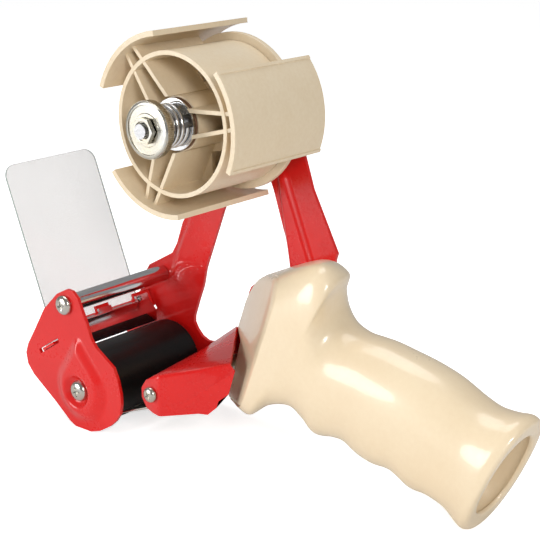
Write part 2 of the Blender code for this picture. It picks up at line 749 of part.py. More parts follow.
def blade_outline():
    """The blade's plan: a straight back edge and a row of pointed teeth."""
    tip = blade_lead + blade_width
    root = tip - blade_tooth_depth
    teeth = max(1, int((strip_far - strip_near) / blade_tooth_pitch))
    outline = [(blade_lead, strip_far), (blade_lead, strip_near)]
    for tooth in range(teeth):
        start = strip_near + tooth * (strip_far - strip_near) / teeth
        outline.append((root, start))
        outline.append((tip, start + (strip_far - strip_near) / teeth / 2))
    outline.append((root, strip_far))
    return outline


def build_flap():
    corner = []
    for step in range(corner_steps + 1):
        angle = math.pi / 2 * step / corner_steps
        corner.append((1 - math.cos(angle), math.sin(angle)))
    outline = [(flap_hinge_gap, strip_near)]
    for rise, run in corner:
        outline.append((flap_length - flap_corner + run * flap_corner, strip_near + rise * flap_corner))
    for rise, run in corner[::-1]:
        outline.append((flap_length - flap_corner + run * flap_corner, strip_far - rise * flap_corner))
    outline.append((flap_hinge_gap, strip_far))
    flap = add_part("wiper_flap", sheet_on(flap_hinge, flap_direction, outline, flap_thickness, 0),
                    "clear_plastic")
    set_origin(flap, (flap_hinge[0], 0, flap_hinge[1]))


def build_rods():
    add_part("guide_rod", bored_rod(rod_radius, rod_bore_radius, rod_bore_depth, rod_centre), "chrome")
    add_part("roller_axle", bored_rod(axle_radius, axle_bore_radius, axle_bore_depth, roller_centre), "zinc")
    add_part("bracket_spacer", bored_rod(spacer_radius, spacer_bore_radius, rod_bore_depth,
                                         bracket_screw_centre), "zinc")
    rows = [
        ("rod_screw", rod_centre, rod_screw_head),
        ("roller_screw", roller_centre, roller_screw_head),
        ("bracket_screw", bracket_screw_centre, bracket_screw_head),
    ]
    for name, centre, sizes in rows:
        near = screw_mesh(centre, -near_outer - part_gap, 1, sizes, screw_reach)
        far = screw_mesh(centre, far_outer + part_gap, -1, sizes, screw_reach)
        add_each(name, [near, far], "zinc")


def build_roller():
    near = -near_inner + roller_end_gap
    far = far_inner - roller_end_gap
    sleeve_bore = roller_radius - roller_wall
    core_radius = sleeve_bore - part_gap
    bore = axle_radius + part_gap
    hub = bore + core_wall
    middle = (near + far) / 2
    sleeve = add_part("roller_sleeve", disc(roller_radius, near, far, roller_centre, sleeve_bore),
                      "black_rubber")
    profile = [
        (core_radius, near), (core_radius, far),
        (core_radius - core_wall, far), (core_radius - core_wall, middle + core_end_wall / 2),
        (hub, middle + core_end_wall / 2), (hub, far), (bore, far),
        (bore, near), (hub, near), (hub, middle - core_end_wall / 2),
        (core_radius - core_wall, middle - core_end_wall / 2), (core_radius - core_wall, near),
    ]
    core = add_part("roller_core", turned(profile, roller_centre), "dark_plastic")
    for part in (sleeve, core):
        set_origin(part, (roller_centre[0], 0, roller_centre[1]))


def build_rear_bracket():
    """One folded sheet: the near flange, a web over to the plate, and a tab on the plate."""
    near_y = -near_inner - sheet_thickness / 2
    tab_y = far_inner - part_gap - sheet_thickness / 2
    flat = frame_points(flange_flat_shares)
    turn_start = flat[0][0]
    work = bmesh.new()

    def flange_vert(point):
        return work.verts.new((point[0], near_y + max(point[0] - turn_start, 0) * bracket_turn, point[1]))

    flat_verts = [flange_vert(point) for point in flat]
    turned_verts = [flange_vert(point) for point in frame_points(flange_turned_shares)]
    work.faces.new(flat_verts)
    work.faces.new([flat_verts[0], flat_verts[-1]] + turned_verts)
    near_row = [flat_verts[1], flat_verts[0], turned_verts[-1]]
    starts = [vert.co.copy() for vert in near_row]
    ends = [Vector((x, tab_y, z)) for x, z in frame_points(web_far_shares)]
    row = near_row
    for step in range(1, web_rows + 1):
        new_row = [work.verts.new(start.lerp(end, step / web_rows)) for start, end in zip(starts, ends)]
        for index in range(len(row) - 1):
            work.faces.new((row[index], row[index + 1], new_row[index + 1], new_row[index]))
        row = new_row
    tab_verts = [work.verts.new((x, tab_y, z)) for x, z in frame_points(tab_shares)]
    work.faces.new(row + tab_verts)
    bmesh.ops.recalc_face_normals(work, faces=work.faces)
    mesh = bpy.data.meshes.new("bracket")
    work.to_mesh(mesh)
    work.free()
    guide = bpy.data.objects.new("bracket", mesh)
    parts.objects.link(guide)
    wall = guide.modifiers.new("wall", 'SOLIDIFY')
    wall.thickness = sheet_thickness
    wall.offset = 0
    bracket = add_part("rear_bracket", take_mesh(guide), "red_paint")
    low = -near_outer - cut_overrun
    cut(bracket, screw_hole(bracket_screw_centre, low, -near_inner + cut_overrun, bracket_screw_head[2]))
    rivets = []
    for share in rivet_places_shares:
        centre = frame_point(share)
        cut(bracket, screw_hole(centre, tab_y - cut_overrun, tab_y + cut_overrun, rivet_head[2]))
        seat = tab_y - sheet_thickness / 2 - part_gap
        reach = far_outer + part_gap - seat
        rivets.append(screw_mesh(centre, seat, 1, rivet_head, reach))
    add_each("bracket_rivet", rivets, "steel")

    leg_x = bracket_screw_centre[0] - spacer_radius - part_gap - guard_sheet / 2
    bend = (leg_x, guard_bend_height_share * frame_drop)
    path = [frame_point(guard_start_share), bend, (leg_x, bend[1] + guard_leg_rise)]
    guard = bent_strip(path, guard_sheet, -near_inner + guard_end_gap, far_inner - guard_end_gap)
    add_part("roller_guard", guard, "zinc")


def grip_ring(row, side_wall, end_wall):
    """One closed section of the grip, drawn in by its walls for the bore."""
    top_x, top_z, low_x, low_z, near, far, square, slant, drop, pull = row
    middle = Vector((top_x + low_x, top_z + low_z)) * grip_length / 2
    half = Vector((top_x - low_x, top_z - low_z)) * grip_length / 2
    half -= half.normalized() * end_wall
    anchor = frame_point(grip_anchor_share)
    seat = far_inner - part_gap
    ring = []
    for index in range(grip_points):
        angle = 2 * math.pi * index / grip_points
        corner = min(square, grip_top_square) if math.sin(angle) > 0 else square
        side = math.copysign(abs(math.cos(angle)) ** (2 / corner), math.cos(angle))
        rise = math.copysign(abs(math.sin(angle)) ** (2 / corner), math.sin(angle))
        reach = near * grip_length - side_wall if side > 0 else far * seat - side_wall
        y = min(-side * reach, seat - side_wall)
        pulled = pull * max(y, 0) ** 2 / seat
        x = anchor[0] + middle[0] + half[0] * rise - slant * y - pulled
        z = anchor[1] + middle[1] + half[1] * rise - drop * y - grip_pull_fall * pulled
        ring.append((x, y, z))
    return ring


def smooth_rows(rows, steps):
    """Rows of numbers with more rows between them, on a smooth curve through all of them."""
    dense = []
    for index in range(len(rows) - 1):
        before = rows[max(index - 1, 0)]
        after = rows[min(index + 2, len(rows) - 1)]
        for step in range(steps):
            t = step / steps
            row = []
            for a, b, c, d in zip(before, rows[index], rows[index + 1], after):
                bend = (c - a) * t + (2 * a - 5 * b + 4 * c - d) * t ** 2 + (3 * b - a - 3 * c + d) * t ** 3
                row.append(b + bend / 2)
            dense.append(tuple(row))
    dense.append(rows[-1])
    return dense


def build_grip():
    outer = [grip_ring(row, 0, 0) for row in smooth_rows(grip_section_shares, grip_steps)]
    bore_rows = grip_section_shares[-bore_depth_sections:][::-1]
    inner = [grip_ring(bore_rows[0], mouth_side_wall, mouth_end_wall)]
    inner += [grip_ring(row, bore_side_wall, bore_end_wall) for row in bore_rows[1:]]
    grip = add_part("handle_grip", loft(outer + inner), "cream_plastic")
    pocket = frame_point(grip_pocket_share)
    low = (-frame_drop, -near_outer, -2 * frame_drop)
    high = (pocket[0], far_outer, pocket[1])
    cut(grip, box(low, high))
    screws = []
    for share in handle_screw_shares:
        centre = frame_point(share)
        seat = far_outer + part_gap
        cut(grip, screw_hole(centre, seat - handle_screw_reach - part_gap, far_outer, handle_screw_head[2]))
        screws.append(screw_mesh(centre, seat, -1, handle_screw_head, handle_screw_reach))
    add_each("handle_screw", screws, "zinc")


def build_reel():
    # EXACT leaves open edges on this thin-walled core, so its Booleans are MANIFOLD
    solver = 'MANIFOLD'
    bush_radius = bore_radius + bush_wall
    core = add_part("reel_core", disc(drum_radius, drum_near, drum_far, bore=drum_radius - drum_wall,
                                      sides=2 * round_sides), "reel_plastic")
    web_far = drum_far - web_offset
    join(core, disc(drum_radius - drum_wall / 2, web_far - web_thickness, web_far, bore=boss_radius - part_gap), solver)
    for index in range(fin_count):
        angle = fin_first_angle + 2 * math.pi * index / fin_count
        window = angle + math.pi / fin_count
        cut(core, slab([sector(window_inner_radius, window_outer_radius, window, window_half_angle)],
                       web_far - web_thickness - cut_overrun, web_far + cut_overrun), solver)
    join(core, disc(boss_radius, boss_near - part_gap, drum_far, bore=bush_radius + part_gap), solver)
    for index in range(fin_count):
        angle = fin_first_angle + 2 * math.pi * index / fin_count
        fin_inner = fin_radius - fin_thickness
        along = Vector((math.cos(angle), math.sin(angle)))
        aside = Vector((-along.y, along.x))
        for side in (-1, 1):
            foot = along * (boss_radius - rib_thickness) + aside * side * rib_inner_half_gap
            head = along * (fin_inner + border_height) + aside * side * rib_outer_half_gap
            rib = bent_strip([tuple(foot), tuple(head)], rib_thickness, drum_near + part_gap, drum_far - part_gap)
            join(core, rib, solver)
        fin = slab([sector(fin_inner, fin_radius, angle, fin_half_angle)], fin_near, fin_far)
        join(core, fin, solver)
        panel_half = fin_half_angle - border_width / fin_radius
        panel = sector(fin_radius - border_height, fin_radius + cut_overrun, angle, panel_half)
        cut(core, slab([panel], fin_near + border_width, fin_far + cut_overrun), solver)
    cut(core, disc(friction_radius + 2 * part_gap, drum_near - cut_overrun, boss_near), solver)
    add_part("reel_bush", disc(bush_radius, boss_near, drum_far, bore=bore_radius), "dark_plastic")
    add_part("back_flange", disc(flange_radius, flange_near, flange_far, bore=bore_radius,
                                 sides=2 * round_sides), "reel_plastic")
    spacer_near = flange_far + part_gap
    add_part("axle_spacer", disc(axle_spacer_radius, spacer_near, spacer_near + axle_spacer_length,
                                 bore=bore_radius), "zinc")


def spring_points():
    """The drag spring's centre line: one helix round the bolt."""
    rise = spring_length - 2 * spring_wire
    count = spring_coils * spring_points_per_coil
    points = []
    for index in range(count + 1):
        angle = 2 * math.pi * index / spring_points_per_coil
        y = spring_near + spring_wire + rise * index / count
        points.append((spring_radius * math.cos(angle), y, spring_radius * math.sin(angle)))
    return points


def least_gap(points, radius, apart):
    """The smallest gap of a wire to itself, between points at least this many places apart."""
    gaps = []
    for first, point in enumerate(points):
        for other in points[first + apart:]:
            gaps.append((Vector(point) - Vector(other)).length - 2 * radius)
    return min(gaps)


def build_axle():
    washer_near = far_outer + part_gap
    head_near = washer_near + washer_thickness + part_gap
    bolt = add_part("axle_bolt", disc(bolt_radius, bolt_end, head_near + bolt_head_height / 2), "steel")
    join(bolt, disc(bolt_head_radius, head_near, head_near + bolt_head_height, sides=hexagon_sides))
    add_part("axle_washer", disc(washer_radius, washer_near, washer_near + washer_thickness,
                                 bore=bore_radius), "zinc")
    add_part("friction_washer", disc(friction_radius, friction_near, friction_near + friction_thickness,
                                     bore=bore_radius), "brown_fibre")
    add_part("pressure_washer", disc(pressure_radius, pressure_near, pressure_near + pressure_thickness,
                                     bore=bore_radius), "chrome")
    points = spring_points()
    add_part("drag_spring", wire(points, spring_wire, wire_resolution), "chrome")
    print("least gap in the drag spring, mm:",
          round(least_gap(points, spring_wire, spring_points_per_coil // 2) * 1000, 2))
    add_part("spring_seat", disc(seat_radius, seat_near, seat_near + seat_thickness, bore=bore_radius), "zinc")
    rim = []
    for index in range(2 * wheel_knurls):
        angle = math.pi * index / wheel_knurls
        radius = wheel_radius - knurl_depth * (index % 2)
        rim.append((radius * math.cos(angle), radius * math.sin(angle)))
    wheel_bore = arc(insert_radius + part_gap, 0, 2 * math.pi, small_sides)[:-1]
    add_part("thumb_wheel", slab([rim, wheel_bore], wheel_near, wheel_far), "zinc")
    insert = add_part("wheel_insert", disc(insert_radius, collar_near + collar_thickness / 2, wheel_far,
                                           bore=bore_radius), "zinc")
    join(insert, hexagon(collar_radius, collar_near, collar_near + collar_thickness, insert_radius - part_gap))


def stand_on_floor():
    """Moves the whole model so that it stands on z = 0, its box centred over the origin."""
    bpy.context.view_layer.update()
    depsgraph = bpy.context.evaluated_depsgraph_get()
    corners = []
    for part in parts.objects:
        shown = part.evaluated_get(depsgraph)
        corners += [part.matrix_world @ vert.co for vert in shown.data.vertices]
    low = [min(corner[axis] for corner in corners) for axis in range(3)]
    high = [max(corner[axis] for corner in corners) for axis in range(3)]
    move = Vector((-(low[0] + high[0]) / 2, -(low[1] + high[1]) / 2, -low[2]))
    for part in list(parts.objects) + list(cutters.objects):
        part.matrix_world = Matrix.Translation(move) @ part.matrix_world
    print("size, mm:", [round((b - a) * 1000, 1) for a, b in zip(low, high)])
    print("reel axis:", [round(value, 6) for value in move])
    for name, place in (("roller axis", roller_centre), ("flap hinge", flap_hinge)):
        print(name + ":", [round(value, 6) for value in move + Vector((place[0], 0, place[1]))])


build_side_frame()
build_near_cheek()
build_nose()
build_flap()
build_rods()
build_roller()
build_rear_bracket()
build_grip()
build_reel()
build_axle()
stand_on_floor()
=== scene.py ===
import json
import math
import bmesh
import bpy
from mathutils import Matrix, Vector


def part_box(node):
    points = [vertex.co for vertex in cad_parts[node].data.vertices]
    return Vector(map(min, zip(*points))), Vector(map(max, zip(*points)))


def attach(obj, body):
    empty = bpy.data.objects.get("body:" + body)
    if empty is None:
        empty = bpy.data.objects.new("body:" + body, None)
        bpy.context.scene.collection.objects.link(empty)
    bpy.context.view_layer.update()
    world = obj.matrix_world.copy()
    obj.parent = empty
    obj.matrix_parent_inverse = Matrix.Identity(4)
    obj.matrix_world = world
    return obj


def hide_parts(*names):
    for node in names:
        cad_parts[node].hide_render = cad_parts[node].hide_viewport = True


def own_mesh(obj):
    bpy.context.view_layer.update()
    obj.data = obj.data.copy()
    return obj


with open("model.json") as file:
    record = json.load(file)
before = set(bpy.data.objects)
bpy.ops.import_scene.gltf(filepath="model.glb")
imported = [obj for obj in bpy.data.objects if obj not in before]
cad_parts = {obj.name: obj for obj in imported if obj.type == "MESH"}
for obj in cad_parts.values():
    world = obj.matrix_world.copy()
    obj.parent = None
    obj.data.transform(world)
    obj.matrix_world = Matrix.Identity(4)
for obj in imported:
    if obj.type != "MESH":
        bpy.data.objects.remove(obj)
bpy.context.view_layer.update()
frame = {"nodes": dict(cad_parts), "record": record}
nodes = frame["nodes"]
scene = bpy.context.scene
joints = {joint["name"]: joint for joint in frame["record"]["behaviour"]["joints"]}
nodeSlot = {entry["node"]: entry["material_slot"] for entry in frame["record"]["subparts"]}
nodeBody = {name: body for body, names in frame["record"]["behaviour"]["bodies"].items() for name in names}
axleLow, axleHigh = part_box("reel_bush")
axleY = joints["reel_spin"]["pos_m"][1]
axleCentre = Vector(((axleLow.x + axleHigh.x) / 2, axleY, (axleLow.z + axleHigh.z) / 2))

cameraSettings = {
    "place": (0.3569, -0.4223, 0.2511),
    "azimuth": 39.7,
    "elevation": 16.95,
    "lens": 93.33,
    "sensor": 36.0,
}

studio = {
    "floorSize": 6.0,
    "floorColour": (0.90, 0.90, 0.90),
    "floorRoughness": 0.7,
    "floorGlow": 0.70,
    "worldStrength": 0.30,
    "aim": (0.0, 0.0, 0.09),
    # name, place, power, size
    "lamps": [
        ("keyLight", (0.75, -0.55, 0.50), 4.6, 0.30),
        ("fillLight", (-0.55, -0.85, 0.22), 5.0, 0.5),
        ("topLight", (-0.25, 0.10, 0.95), 3.6, 0.7),
    ],
}

colours = {
    "red": (0.70, 0.010, 0.008),
    "redDeep": (0.62, 0.006, 0.005),
    "cream": (0.85, 0.71, 0.50),
    "creamDeep": (0.80, 0.64, 0.43),
    "hub": (0.80, 0.68, 0.50),
    "hubDeep": (0.74, 0.60, 0.41),
    "roller": (0.003, 0.003, 0.003),
    "rollerDust": (0.007, 0.006, 0.006),
    "dark": (0.03, 0.03, 0.03),
    "darkWorn": (0.06, 0.058, 0.055),
    "chrome": (0.78, 0.79, 0.80),
    "chromeDull": (0.62, 0.62, 0.63),
    "zinc": (0.50, 0.51, 0.50),
    "zincWarm": (0.56, 0.50, 0.38),
    "steel": (0.50, 0.50, 0.51),
    "steelDull": (0.36, 0.36, 0.37),
    "fibre": (0.10, 0.045, 0.025),
    "fibreLight": (0.20, 0.11, 0.06),
    "clear": (0.68, 0.675, 0.665),
    "clearCloud": (0.60, 0.59, 0.58),
    "clearEdge": (0.20, 0.27, 0.23),
    "clearEdgeDeep": (0.08, 0.13, 0.11),
}
white = (1.0, 1.0, 1.0, 1.0)

noiseDetail = {"patch": 3, "grain": 2, "wave": 2}
# the mottle's values between which its mask rises from none to full
maskRange = (0.35, 0.65)


def addSockets(tree, direction, kinds):
    for name, kind in kinds.items():
        tree.interface.new_socket(name, in_out=direction, socket_type="NodeSocket" + kind)


def noiseNode(tree, detail):
    noise = tree.nodes.new("ShaderNodeTexNoise")
    noise.inputs["Detail"].default_value = detail
    return noise


def mottleGroup():
    # slow patches over a finer grain, read in the piece's own space
    tree = bpy.data.node_groups.new("mottle", "ShaderNodeTree")
    addSockets(tree, "INPUT", {"Vector": "Vector", "Patch Scale": "Float", "Grain Scale": "Float",
                               "Grain Share": "Float"})
    addSockets(tree, "OUTPUT", {"Mask": "Float"})
    start = tree.nodes.new("NodeGroupInput")
    end = tree.nodes.new("NodeGroupOutput")
    patch = noiseNode(tree, noiseDetail["patch"])
    grain = noiseNode(tree, noiseDetail["grain"])
    blend = tree.nodes.new("ShaderNodeMix")
    blend.data_type = "FLOAT"
    link = tree.links.new
    link(start.outputs["Vector"], patch.inputs["Vector"])
    link(start.outputs["Vector"], grain.inputs["Vector"])
    link(start.outputs["Patch Scale"], patch.inputs["Scale"])
    link(start.outputs["Grain Scale"], grain.inputs["Scale"])
    link(start.outputs["Grain Share"], blend.inputs[0])
    link(patch.outputs[0], blend.inputs[2])
    link(grain.outputs[0], blend.inputs[3])
    link(blend.outputs[0], end.inputs["Mask"])
    return tree


def skinGroup():
    # the small unevenness of a coat, a moulding or a rolled sheet, as a normal
    tree = bpy.data.node_groups.new("skin", "ShaderNodeTree")
    addSockets(tree, "INPUT", {"Vector": "Vector", "Wave Scale": "Float", "Strength": "Float",
                               "Depth": "Float"})
    addSockets(tree, "OUTPUT", {"Normal": "Vector"})
    start = tree.nodes.new("NodeGroupInput")
    end = tree.nodes.new("NodeGroupOutput")
    wave = noiseNode(tree, noiseDetail["wave"])
    bump = tree.nodes.new("ShaderNodeBump")
    link = tree.links.new
    link(start.outputs["Vector"], wave.inputs["Vector"])
    link(start.outputs["Wave Scale"], wave.inputs["Scale"])
    link(start.outputs["Strength"], bump.inputs["Strength"])
    link(start.outputs["Depth"], bump.inputs["Distance"])
    link(wave.outputs[0], bump.inputs["Height"])
    link(bump.outputs["Normal"], end.inputs["Normal"])
    return tree


mottle = mottleGroup()
skin = skinGroup()

plainLook = {"metallic": 0.0, "coat": 0.0, "coatRoughness": 0.1, "specular": 0.5, "alpha": 1.0,
             "stretch": (1, 1, 1), "grainShare": 0.35, "waveDepth": 0.0002}
shaderSockets = {"metallic": "Metallic", "coat": "Coat Weight", "coatRoughness": "Coat Roughness",
                 "specular": "Specular IOR Level", "alpha": "Alpha"}


def newMaterial(name, light, deep, ownLook):
    # two close colours and a roughness follow one mottle, and the skin gives the small waves
    look = {**plainLook, **ownLook}
    material = bpy.data.materials.new(name)
    material.use_nodes = True
    tree = material.node_tree
    shader = tree.nodes["Principled BSDF"]
    for key, socket in shaderSockets.items():
        shader.inputs[socket].default_value = look[key]
    place = tree.nodes.new("ShaderNodeTexCoord")
    mapping = tree.nodes.new("ShaderNodeMapping")
    mapping.inputs["Scale"].default_value = look["stretch"]
    mask = tree.nodes.new("ShaderNodeGroup")
    mask.node_tree = mottle
    mask.inputs["Patch Scale"].default_value = look["patch"]
    mask.inputs["Grain Scale"].default_value = look["grain"]
    mask.inputs["Grain Share"].default_value = look["grainShare"]
    spread = tree.nodes.new("ShaderNodeMapRange")
    spread.inputs["From Min"].default_value = maskRange[0]
    spread.inputs["From Max"].default_value = maskRange[1]
    tint = tree.nodes.new("ShaderNodeMix")
    tint.data_type = "RGBA"
    tint.inputs[6].default_value = (*light, 1.0)
    tint.inputs[7].default_value = (*deep, 1.0)
    rough = tree.nodes.new("ShaderNodeMapRange")
    rough.inputs["To Min"].default_value = look["rough"][0]
    rough.inputs["To Max"].default_value = look["rough"][1]
    normal = tree.nodes.new("ShaderNodeGroup")
    normal.node_tree = skin
    normal.inputs["Wave Scale"].default_value = look["wave"]
    normal.inputs["Strength"].default_value = look["waveStrength"]
    normal.inputs["Depth"].default_value = look["waveDepth"]
    link = tree.links.new
    link(place.outputs["Object"], mapping.inputs["Vector"])
    link(mapping.outputs["Vector"], mask.inputs["Vector"])
    link(mapping.outputs["Vector"], normal.inputs["Vector"])
    link(mask.outputs["Mask"], spread.inputs["Value"])
    link(spread.outputs["Result"], tint.inputs[0])
    link(spread.outputs["Result"], rough.inputs["Value"])
    link(tint.outputs[2], shader.inputs["Base Color"])
    link(rough.outputs["Result"], shader.inputs["Roughness"])
    link(normal.outputs["Normal"], shader.inputs["Normal"])
    return material


paintLook = {"rough": (0.24, 0.34), "patch": 22, "grain": 700, "grainShare": 0.25, "specular": 0.3,
             "coat": 0.4, "coatRoughness": 0.05, "wave": 420, "waveStrength": 0.25, "waveDepth": 0.00006}
gripLook = {"rough": (0.26, 0.36), "patch": 16, "grain": 500, "grainShare": 0.2, "coat": 0.5,
            "coatRoughness": 0.07, "wave": 260, "waveStrength": 0.2, "waveDepth": 0.00005}
hubLook = {"rough": (0.36, 0.46), "patch": 25, "grain": 650, "grainShare": 0.3, "wave": 600,
           "waveStrength": 0.3, "waveDepth": 0.00004}
rollerLook = {"rough": (0.28, 0.38), "patch": 40, "grain": 900, "grainShare": 0.5, "specular": 0.22,
              "wave": 700, "waveStrength": 0.3, "waveDepth": 0.00003}
darkLook = {"rough": (0.45, 0.60), "patch": 40, "grain": 600, "wave": 500, "waveStrength": 0.3}
chromeLook = {"rough": (0.07, 0.16), "patch": 35, "grain": 1200, "grainShare": 0.5, "metallic": 1.0,
              "stretch": (1, 0.15, 1), "wave": 90, "waveStrength": 0.08, "waveDepth": 0.00008}
zincLook = {"rough": (0.17, 0.30), "patch": 70, "grain": 1500, "grainShare": 0.45, "metallic": 1.0,
            "wave": 900, "waveStrength": 0.25, "waveDepth": 0.00003}
steelLook = {"rough": (0.22, 0.34), "patch": 50, "grain": 1400, "grainShare": 0.5, "metallic": 1.0,
             "stretch": (1, 0.1, 1), "wave": 800, "waveStrength": 0.2, "waveDepth": 0.00003}
fibreLook = {"rough": (0.55, 0.75), "patch": 150, "grain": 1500, "grainShare": 0.6, "wave": 1200,
             "waveStrength": 0.5, "waveDepth": 0.00005}
clearLook = {"rough": (0.05, 0.12), "patch": 14, "grain": 300, "grainShare": 0.15, "alpha": 0.34, "wave": 25,
             "waveStrength": 0.06, "waveDepth": 0.0003}
clearEdgeLook = {"rough": (0.10, 0.20), "patch": 60, "grain": 500, "alpha": 0.85, "wave": 60,
                 "waveStrength": 0.1}

materials = {
    "red_paint": newMaterial("redPowderCoat", colours["red"], colours["redDeep"], paintLook),
    "cream_plastic": newMaterial("glossCreamMoulding", colours["cream"], colours["creamDeep"], gripLook),
    "reel_plastic": newMaterial("satinHubMoulding", colours["hub"], colours["hubDeep"], hubLook),
    "black_rubber": newMaterial("rollerRubber", colours["roller"], colours["rollerDust"], rollerLook),
    "dark_plastic": newMaterial("darkPlastic", colours["dark"], colours["darkWorn"], darkLook),
    "chrome": newMaterial("chromePlate", colours["chrome"], colours["chromeDull"], chromeLook),
    "zinc": newMaterial("zincPlate", colours["zinc"], colours["zincWarm"], zincLook),
    "steel": newMaterial("brightSteel", colours["steel"], colours["steelDull"], steelLook),
    "brown_fibre": newMaterial("brownFibre", colours["fibre"], colours["fibreLight"], fibreLook),
    "clear_plastic": newMaterial("clearSheet", colours["clear"], colours["clearCloud"], clearLook),
    "clear_edge": newMaterial("clearSheetEdge", colours["clearEdge"], colours["clearEdgeDeep"],
                              clearEdgeLook),
}
for name, slotName in nodeSlot.items():
    for slot in nodes[name].material_slots:
        slot.material = materials[slotName]
print("materials are on")


softEdges = {
    "segments": 2,
    "sharpAngle": 32.0,
    "mergeDistance": 0.00001,
    "flatAngle": 0.6,
    # a sheet's face counts as its edge below this share of facing the same way as the sheet
    "edgeFacing": 0.7,
    # how far past the cheek's outer face the bridge's tab reaches where its faces take the steel material
    "steelTabReach": 0.0003,
}

# how wide the rounding is on each kind of piece, and the CAD pieces of that kind
edgeWidths = {
    "paintedSheet": (0.00035, ["nose_bridge", "roller_guard"]),
    "moulding": (0.0005, ["reel_core", "back_flange", "roller_sleeve"]),
    "thinOrSmall": (0.00025, ["tape_stripper", "pressure_washer", "friction_washer", "spring_seat",
                              "axle_washer", "wheel_insert", "guide_rod", "wiper_flap", "flap_tail"]),
}


def meshObject(name, mesh):
    piece = bpy.data.objects.new(name, mesh)
    scene.collection.objects.link(piece)
    return piece


def bakedMesh(piece):
    bpy.context.view_layer.update()
    graph = bpy.context.evaluated_depsgraph_get()
    mesh = bpy.data.meshes.new_from_object(piece.evaluated_get(graph))
    piece.modifiers.clear()
    piece.data = mesh
    return mesh


def shapeMesh(shape, name):
    mesh = bpy.data.meshes.new(name)
    shape.to_mesh(mesh)
    shape.free()
    return mesh


def smoothShade(mesh, angle):
    mesh.shade_smooth()
    mesh.set_sharp_from_angle(angle=math.radians(angle))


def roundEdges(piece, width, angle):
    bevel = piece.modifiers.new("roundedEdges", "BEVEL")
    bevel.width = width
    bevel.segments = softEdges["segments"]
    bevel.limit_method = "ANGLE"
    bevel.angle_limit = math.radians(angle)
    return bevel


def cutWith(piece, other, operation):
    cut = piece.modifiers.new("cut", "BOOLEAN")
    cut.operation = operation
    cut.solver = "EXACT"
    cut.object = other


def settle(piece, body, slotName, replaced):
    # the slot's material, the body that carries the piece, and the CAD pieces that it stands for
    piece.data.materials.clear()
    piece.data.materials.append(materials[slotName])
    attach(piece, body)
    if replaced:
        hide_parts(*replaced)


def softCopy(name, width):
    # the CAD piece again, with its corners rounded as paint, moulding or polishing leaves them
    mesh = nodes[name].data.copy()
    shape = bmesh.new()
    shape.from_mesh(mesh)
    bmesh.ops.remove_doubles(shape, verts=shape.verts, dist=softEdges["mergeDistance"])
    flat = math.radians(softEdges["flatAngle"])
    bmesh.ops.dissolve_limit(shape, angle_limit=flat, verts=shape.verts, edges=shape.edges)
    shape.to_mesh(mesh)
    shape.free()
    piece = meshObject(name + "Finished", mesh)
    roundEdges(piece, width, softEdges["sharpAngle"]).miter_outer = "MITER_ARC"
    smoothShade(bakedMesh(piece), softEdges["sharpAngle"])
    piece.modifiers.new("flatFaces", "WEIGHTED_NORMAL").keep_sharp = True
    bakedMesh(piece)
    settle(piece, nodeBody[name], nodeSlot[name], [name])


for width, names in edgeWidths.values():
    for name in names:
        softCopy(name, width)


def facesInto(name, material, chosen):
    # another material on the chosen faces of a finished piece
    mesh = bpy.data.objects[name + "Finished"].data
    mesh.materials.append(material)
    for face in mesh.polygons:
        if chosen(face):
            face.material_index = len(mesh.materials) - 1


def sheetEdge(name):
    mesh = bpy.data.objects[name + "Finished"].data
    facing = max(mesh.polygons, key=lambda face: face.area).normal.copy()
    return lambda face: abs(face.normal.dot(facing)) < softEdges["edgeFacing"]


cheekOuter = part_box("near_cheek")[0].y
facesInto("wiper_flap", materials["clear_edge"], sheetEdge("wiper_flap"))
# the bridge's tab end, where it shows in the cheek's slot, takes the steel material
facesInto("nose_bridge", materials["steel"], lambda face: face.center.y < cheekOuter + softEdges["steelTabReach"])
print("the pieces have rounded edges")


def newShapeTree(name, inputs):
    tree = bpy.data.node_groups.new(name, "GeometryNodeTree")
    addSockets(tree, "INPUT", {"Geometry": "Geometry", **inputs})
    addSockets(tree, "OUTPUT", {"Geometry": "Geometry"})
    return tree


def endShapeTree(tree, shape):
    realize = tree.nodes.new("GeometryNodeRealizeInstances")
    finish = tree.nodes.new("NodeGroupOutput")
    tree.links.new(shape, realize.inputs[0])
    tree.links.new(realize.outputs[0], finish.inputs[0])


def runShapeTree(piece, tree, values):
    modifier = piece.modifiers.new(tree.name, "NODES")
    modifier.node_group = tree
    for item in tree.interface.items_tree:
        if item.name in values:
            modifier[item.identifier] = values[item.name]
    return bakedMesh(piece)


def latheMesh(name, profile, centre, sides):
    # turned round an axis along Y; the profile is (radius, y), and it starts and ends on the axis
    # or closes on itself
    shape = bmesh.new()
    closed = profile[0][0] > 0
    rings = []
    for radius, y in profile:
        if radius == 0:
            rings.append([shape.verts.new((centre[0], y, centre[1]))])
            continue
        ring = []
        for index in range(sides):
            angle = 2 * math.pi * index / sides
            place = (centre[0] + radius * math.cos(angle), y, centre[1] + radius * math.sin(angle))
            ring.append(shape.verts.new(place))
        rings.append(ring)
    pairs = list(zip(rings, rings[1:]))
    if closed:
        pairs.append((rings[-1], rings[0]))
    for first, second in pairs:
        for index in range(sides):
            after = (index + 1) % sides
            corners = [first[index % len(first)], first[after % len(first)],
                       second[after % len(second)], second[index % len(second)]]
            shape.faces.new(list(dict.fromkeys(corners)))
    bmesh.ops.recalc_face_normals(shape, faces=shape.faces)
    return shapeMesh(shape, name)


dragNut = {
    "ridges": 84,
    "ridgeDepth": 0.00028,
    "rimRound": 0.0006,
    "faceStep": 0.00025,
    "faceStepRadius": 0.0098,
    "hubStepRadius": 0.0066,
    "sides": 96,
    "ridgeSides": 6,
    "boreShare": 0.8,
    "shadeAngle": 30,
}


